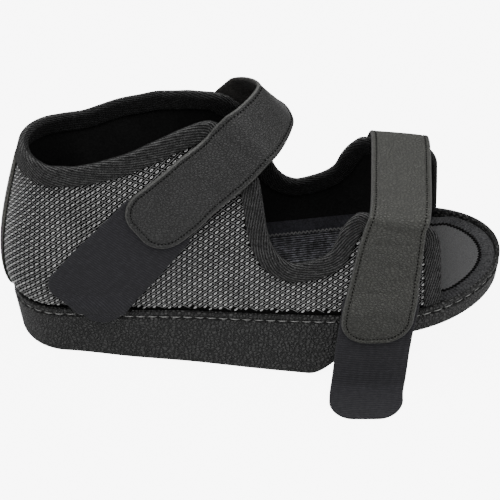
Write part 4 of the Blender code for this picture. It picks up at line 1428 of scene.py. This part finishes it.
    def seam(self, top: np.ndarray, outward: np.ndarray, reach: np.ndarray) -> tuple[np.ndarray, np.ndarray]:
        """Line at the seam's inset, up one side from the root, round the tip and back."""
        half = top.shape[1] // 2
        lines, outs = [], []
        start = int(np.argmax(reach[:, half] > self.seam_inset + 0.05))
        for columns in (np.arange(half + 1), np.arange(top.shape[1] - 1, half - 1, -1)):
            r = reach[start:][:, columns]
            p = top[start:][:, columns]
            o = outward[start:][:, columns]
            k = np.argmax(r > self.seam_inset, axis=1)
            k = np.maximum(k, 1)
            i = np.arange(len(r))
            t = (self.seam_inset - r[i, k - 1]) / np.maximum(r[i, k] - r[i, k - 1], 1e-6)
            t = np.clip(t, 0, 1)[:, None]
            lines.append(p[i, k - 1] * (1 - t) + p[i, k] * t)
            outs.append(o[i, k])
        line = np.concatenate([lines[0][::-1], lines[1]])
        return line, np.concatenate([outs[0][::-1], outs[1]])


@dataclass
class Tab:
    """Loop tab of hook and loop cloth with a rounded free end."""

    name: str
    width: float
    thickness: float = 2.0
    corner: float = 14.0
    columns: int = 41

    def place(self, shop: Workshop, under: np.ndarray, reach: np.ndarray, held: str) -> None:
        """Args:
            shop: the workshop.
            under: grid of its under face.
            reach: distance of each point from the outline.
            held: how the strip lies; not used.
        """
        band = Band(under, reach, self.thickness, 0.9)
        gone = lengths(under[:, under.shape[1] // 2])
        across = np.broadcast_to(border_shares(self.columns) * self.width, reach.shape)
        flat = np.stack([across, np.broadcast_to(gone[:, None], reach.shape)], axis=-1) * 0.01
        tuft = 0.05 * np.sin(across * 2.1 + np.sin(gone[:, None] * 1.7)) * np.sin(gone[:, None] * 2.3 + across)
        tab = shop.place(band.shape(flat, tuft - 0.1), self.name + "_cloth", "loop_cloth", [LOOP_PILE, LOOP_PILE])
        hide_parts(self.name)
        log.info("%s: cut %.0f x %.0f mm", self.name, self.width, gone[-1])


@dataclass
class AnkleTab(Tab):
    """Tab under the ankle strap, its free end outside the rim."""

    path: Table = ((0.140, 0.028, 1.00), (0.196, 0.192, 1.00), (0.251, 0.356, 0.97), (0.317, 0.553, 0.94))

    def build(self, shop: Workshop) -> None:
        """Make the tab on the wall, standing off it as it passes the rim."""
        last = shop.last
        maker = Strap(self.name, self.path, (), 1.0, 0.0, False, width=self.width, corner=self.corner, columns=self.columns)
        rows, lost, at = maker.middle_line(last, self.path, Side.NEAR, 110, self.corner)
        place = maker.across(rows[:, :2], rows[:, 2] - lost, np.zeros(len(rows)))
        stands = last.lip_width + 4 * last.gap
        out = last.gap + (stands - last.gap) * (1 - ease(place[..., 1], 1.0, 14.0))
        side = rows[:, 2:] / 2 - np.abs(border_shares(self.columns)) * (rows[:, 2:] - lost[:, None])
        reach = rounded_reach(np.broadcast_to(at[:, None], side.shape), side, self.corner)
        self.place(shop, last.wall(place[..., 0], place[..., 1], out), reach, "laid")


@dataclass
class ForefootTab(Tab):
    """Tab that hangs down the side of the sole, its free end flat on the floor."""

    path: Table = (
        # along, out of the foot line, height over the floor in heel heights
        (0.729, 1.060, 0.010), (0.731, 0.700, 0.010), (0.733, 0.420, 0.018), (0.736, 0.270, 0.120),
        (0.739, 0.205, 0.330), (0.743, 0.150, 0.760), (0.748, 0.114, 1.170),
    )
    top: float = 0.755
    bend: float = 4.0
    rise: float = 32.0

    def build(self, shop: Workshop) -> None:
        """Make the tab from its end on the floor up to the wall under the strap."""
        last = shop.last
        table = []
        gone = 0.0
        for along, out, height in self.path:
            row = (along * last.sole_length, out * last.heel_height, height * last.heel_height)
            if table:
                gone += math.hypot(row[1] - table[-1][2], row[2] - table[-1][3])
            table.append((gone, *row))
        turn = np.linspace(0.03, np.pi / 2, 30)[:-1]
        at = np.concatenate([self.corner * (1 - np.cos(turn)), np.linspace(self.corner, gone, 90)])
        lost = np.concatenate([2 * self.corner * (1 - np.sin(turn)), np.zeros(90)])
        along, out, height = (smooth(tuple(table), column, at) for column in (1, 2, 3))
        shares = border_shares(self.columns)
        centre = last.way_to(self.top * last.sole_length, Side.NEAR)
        foot = follow(np.array([centre]), last.ways, last.foot)[0]
        outward = follow(np.array([centre]), last.ways, last.out)[0]
        forward = np.array([-outward[1], outward[0]])
        way = centre - (self.width - lost)[:, None] * shares
        plan = follow(way, last.ways, last.foot)
        hanging = plan + forward * (along - foot[0])[:, None, None] + outward * out[:, None, None]
        level = np.broadcast_to(height[:, None, None], way.shape + (1,))
        hanging = np.concatenate([hanging, level], axis=-1)
        up = np.linspace(self.bend, self.rise, 26)[:, None]
        stand = last.gap + (last.lip_width + 3 * last.gap) * (1 - ease(up, 1.0, 14.0))
        kept = np.where(shares < 0, 1 - 0.34 * ease(up, 8.0, 26.0), 1.0)
        lying = last.wall(centre - self.width * shares * kept, up, stand)
        side = self.width / 2 - np.abs(shares) * (self.width - lost[:, None])
        reach = rounded_reach(np.broadcast_to(at[:, None], side.shape), side, self.corner)
        flat_side = self.width * (0.5 - np.abs(shares))
        reach = np.concatenate([reach, np.broadcast_to(flat_side, (26, self.columns))])
        self.place(shop, np.concatenate([hanging, lying]), reach, "hung")


@dataclass
class Studio:
    """Pale floor, soft lights and the photograph's camera."""

    azimuth: float = 2.5
    elevation: float = 38.0
    distance: float = 1.2
    target: tuple[float, float, float] = (0.0484, -0.003, 0.060)
    lens: float = 2003.0 / 500.0 * 36.0
    sky: float = 0.42

    def away(self, azimuth: float, elevation: float) -> np.ndarray:
        """Direction from the shoe towards a place round it."""
        a, e = math.radians(azimuth), math.radians(elevation)
        return np.array([math.sin(a) * math.cos(e), -math.cos(a) * math.cos(e), math.sin(e)])

    def build(self) -> None:
        """Make the floor, the world, the lights and the camera."""
        self.floor()
        self.world()
        self.light("key_light", -28, 68, 1.6, 1.3, 23.0)
        self.light("fill_light", 50, 45, 1.8, 1.4, 9.0)
        self.light("back_light", 165, 60, 1.7, 1.2, 10.0)
        self.camera()

    def floor(self) -> None:
        """Large pale floor that the camera sees a little brighter than its paint."""
        mesh = bpy.data.meshes.new("floor")
        mesh.from_pydata([(-8, -8, 0), (8, -8, 0), (8, 8, 0), (-8, 8, 0)], [], [(0, 1, 2, 3)])
        floor = bpy.data.objects.new("floor", mesh)
        bpy.context.scene.collection.objects.link(floor)
        material = bpy.data.materials.new("pale_floor")
        material.use_nodes = True
        g = Graph(material.node_tree)
        shader = material.node_tree.nodes["Principled BSDF"]
        speck = g.node("TexNoise", {}, Vector=g.node("TexCoord").outputs["Object"], Scale=6.0)
        g.tree.links.new(g.mix(speck.outputs["Fac"], shade(0.56, 0.56, 0.56), shade(0.60, 0.60, 0.60)), shader.inputs["Base Color"])
        shader.inputs["Roughness"].default_value = 0.9
        shader.inputs["Specular IOR Level"].default_value = 0.1
        seen = g.node("LightPath").outputs["Is Camera Ray"]
        shader.inputs["Emission Color"].default_value = shade(1.0, 1.0, 1.0)
        g.tree.links.new(g.math("MULTIPLY", seen, 7.5), shader.inputs["Emission Strength"])
        floor.data.materials.append(material)

    def world(self) -> None:
        """Even white light from all round, seen by the camera as plain white."""
        world = bpy.data.worlds.new("studio")
        bpy.context.scene.world = world
        world.use_nodes = True
        g = Graph(world.node_tree)
        back = world.node_tree.nodes["Background"]
        back.inputs["Color"].default_value = shade(1.0, 1.0, 1.0)
        seen = g.node("LightPath").outputs["Is Camera Ray"]
        g.tree.links.new(g.math("MULTIPLY_ADD", seen, 9.0, self.sky), back.inputs["Strength"])

    def light(self, name: str, azimuth: float, elevation: float, distance: float, size: float, power: float) -> None:
        """Square soft light that looks at the shoe."""
        data = bpy.data.lights.new(name, "AREA")
        data.size = size
        data.energy = power
        lamp = bpy.data.objects.new(name, data)
        bpy.context.scene.collection.objects.link(lamp)
        self.aim(lamp, azimuth, elevation, distance)

    def aim(self, item: bpy.types.Object, azimuth: float, elevation: float, distance: float) -> None:
        """Stand an object round the target, looking at it with its top upwards."""
        back = self.away(azimuth, elevation)
        right = np.array([math.cos(math.radians(azimuth)), math.sin(math.radians(azimuth)), 0.0])
        up = np.cross(back, right)
        spot = np.array(self.target) + back * distance
        matrix = np.eye(4)
        matrix[:3, 0], matrix[:3, 1], matrix[:3, 2], matrix[:3, 3] = right, up, back, spot
        item.matrix_world = Matrix(matrix.tolist())

    def camera(self) -> None:
        """Camera at the photograph's angle."""
        data = bpy.data.cameras.new("camera")
        data.sensor_width = 36.0
        data.lens = self.lens
        data.clip_start = 0.05
        data.clip_end = 50.0
        item = bpy.data.objects.new("camera", data)
        bpy.context.scene.collection.objects.link(item)
        self.aim(item, self.azimuth, self.elevation, self.distance)
        bpy.context.scene.camera = item


def main() -> None:
    """Load the frame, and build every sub-assembly."""
    logging.basicConfig(level=logging.INFO, format="%(name)s: %(message)s")
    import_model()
    shop = Workshop(Last(), Groups())
    Sole().build(shop)
    Insole().build(shop)
    Upper().build(shop)
    EdgeTape().build(shop)
    HeelStrip().build(shop)
    Strap(
        "ankle_strap",
        ((0.274, 0.498, 1.02), (0.341, 0.622, 1.02), (0.396, 0.735, 0.96), (0.437, 0.817, 0.90), (0.484, 0.941, 0.86)),
        ((0.502, 1.117), (0.572, 0.882)), 1.45, 0.200, False,
        wrinkles=(
            (30.0, 5.0, 17.0, 4.0, 38.0, 0.51), (52.0, -6.0, 15.0, 3.0, -24.0, 0.48), (70.0, 4.0, 17.0, 2.2, 12.0, 0.51),
            (80.0, -3.0, 15.0, 1.7, -8.0, 0.54), (87.0, 5.0, 13.0, 1.5, 6.0, 0.51), (94.0, -2.0, 16.0, 1.6, -5.0, 0.58),
            (101.0, 3.0, 14.0, 1.5, 7.0, 0.51), (108.0, -4.0, 13.0, 1.6, -4.0, 0.48), (150.0, 2.0, 15.0, 3.0, 10.0, 0.51),
            (190.0, -3.0, 14.0, 4.0, -14.0, 0.51),
        ),
    ).build(shop)
    Strap(
        "forefoot_strap",
        ((0.7466, -0.140, 0.96), (0.7490, 0.010, 0.96), (0.7565, 0.116, 0.96), (0.7640, 0.230, 0.95),
         (0.7714, 0.347, 0.93), (0.7790, 0.440, 0.90), (0.7835, 0.487, 0.88)),
        ((0.730, 0.577), (0.850, 0.511)), 4.0, 0.757, True, finish=FOREFOOT_LEATHER,
        wrinkles=(
            (18.0, -3.0, 15.0, 3.0, 12.0, 0.48), (34.0, 4.0, 15.0, 2.4, -9.0, 0.48), (52.0, -2.0, 16.0, 2.0, 6.0, 0.51),
            (66.0, 3.0, 15.0, 1.7, -5.0, 0.44), (74.0, -4.0, 14.0, 1.6, 7.0, 0.41), (88.0, 2.0, 16.0, 2.2, -6.0, 0.37),
            (104.0, -2.0, 15.0, 2.6, 5.0, 0.37), (150.0, 0.0, 15.0, 3.0, -8.0, 0.48),
        ),
    ).build(shop)
    AnkleTab("ankle_tab", 50.0).build(shop)
    ForefootTab("forefoot_tab", 44.0).build(shop)
    Studio().build()


if __name__ == "__main__":
    main()
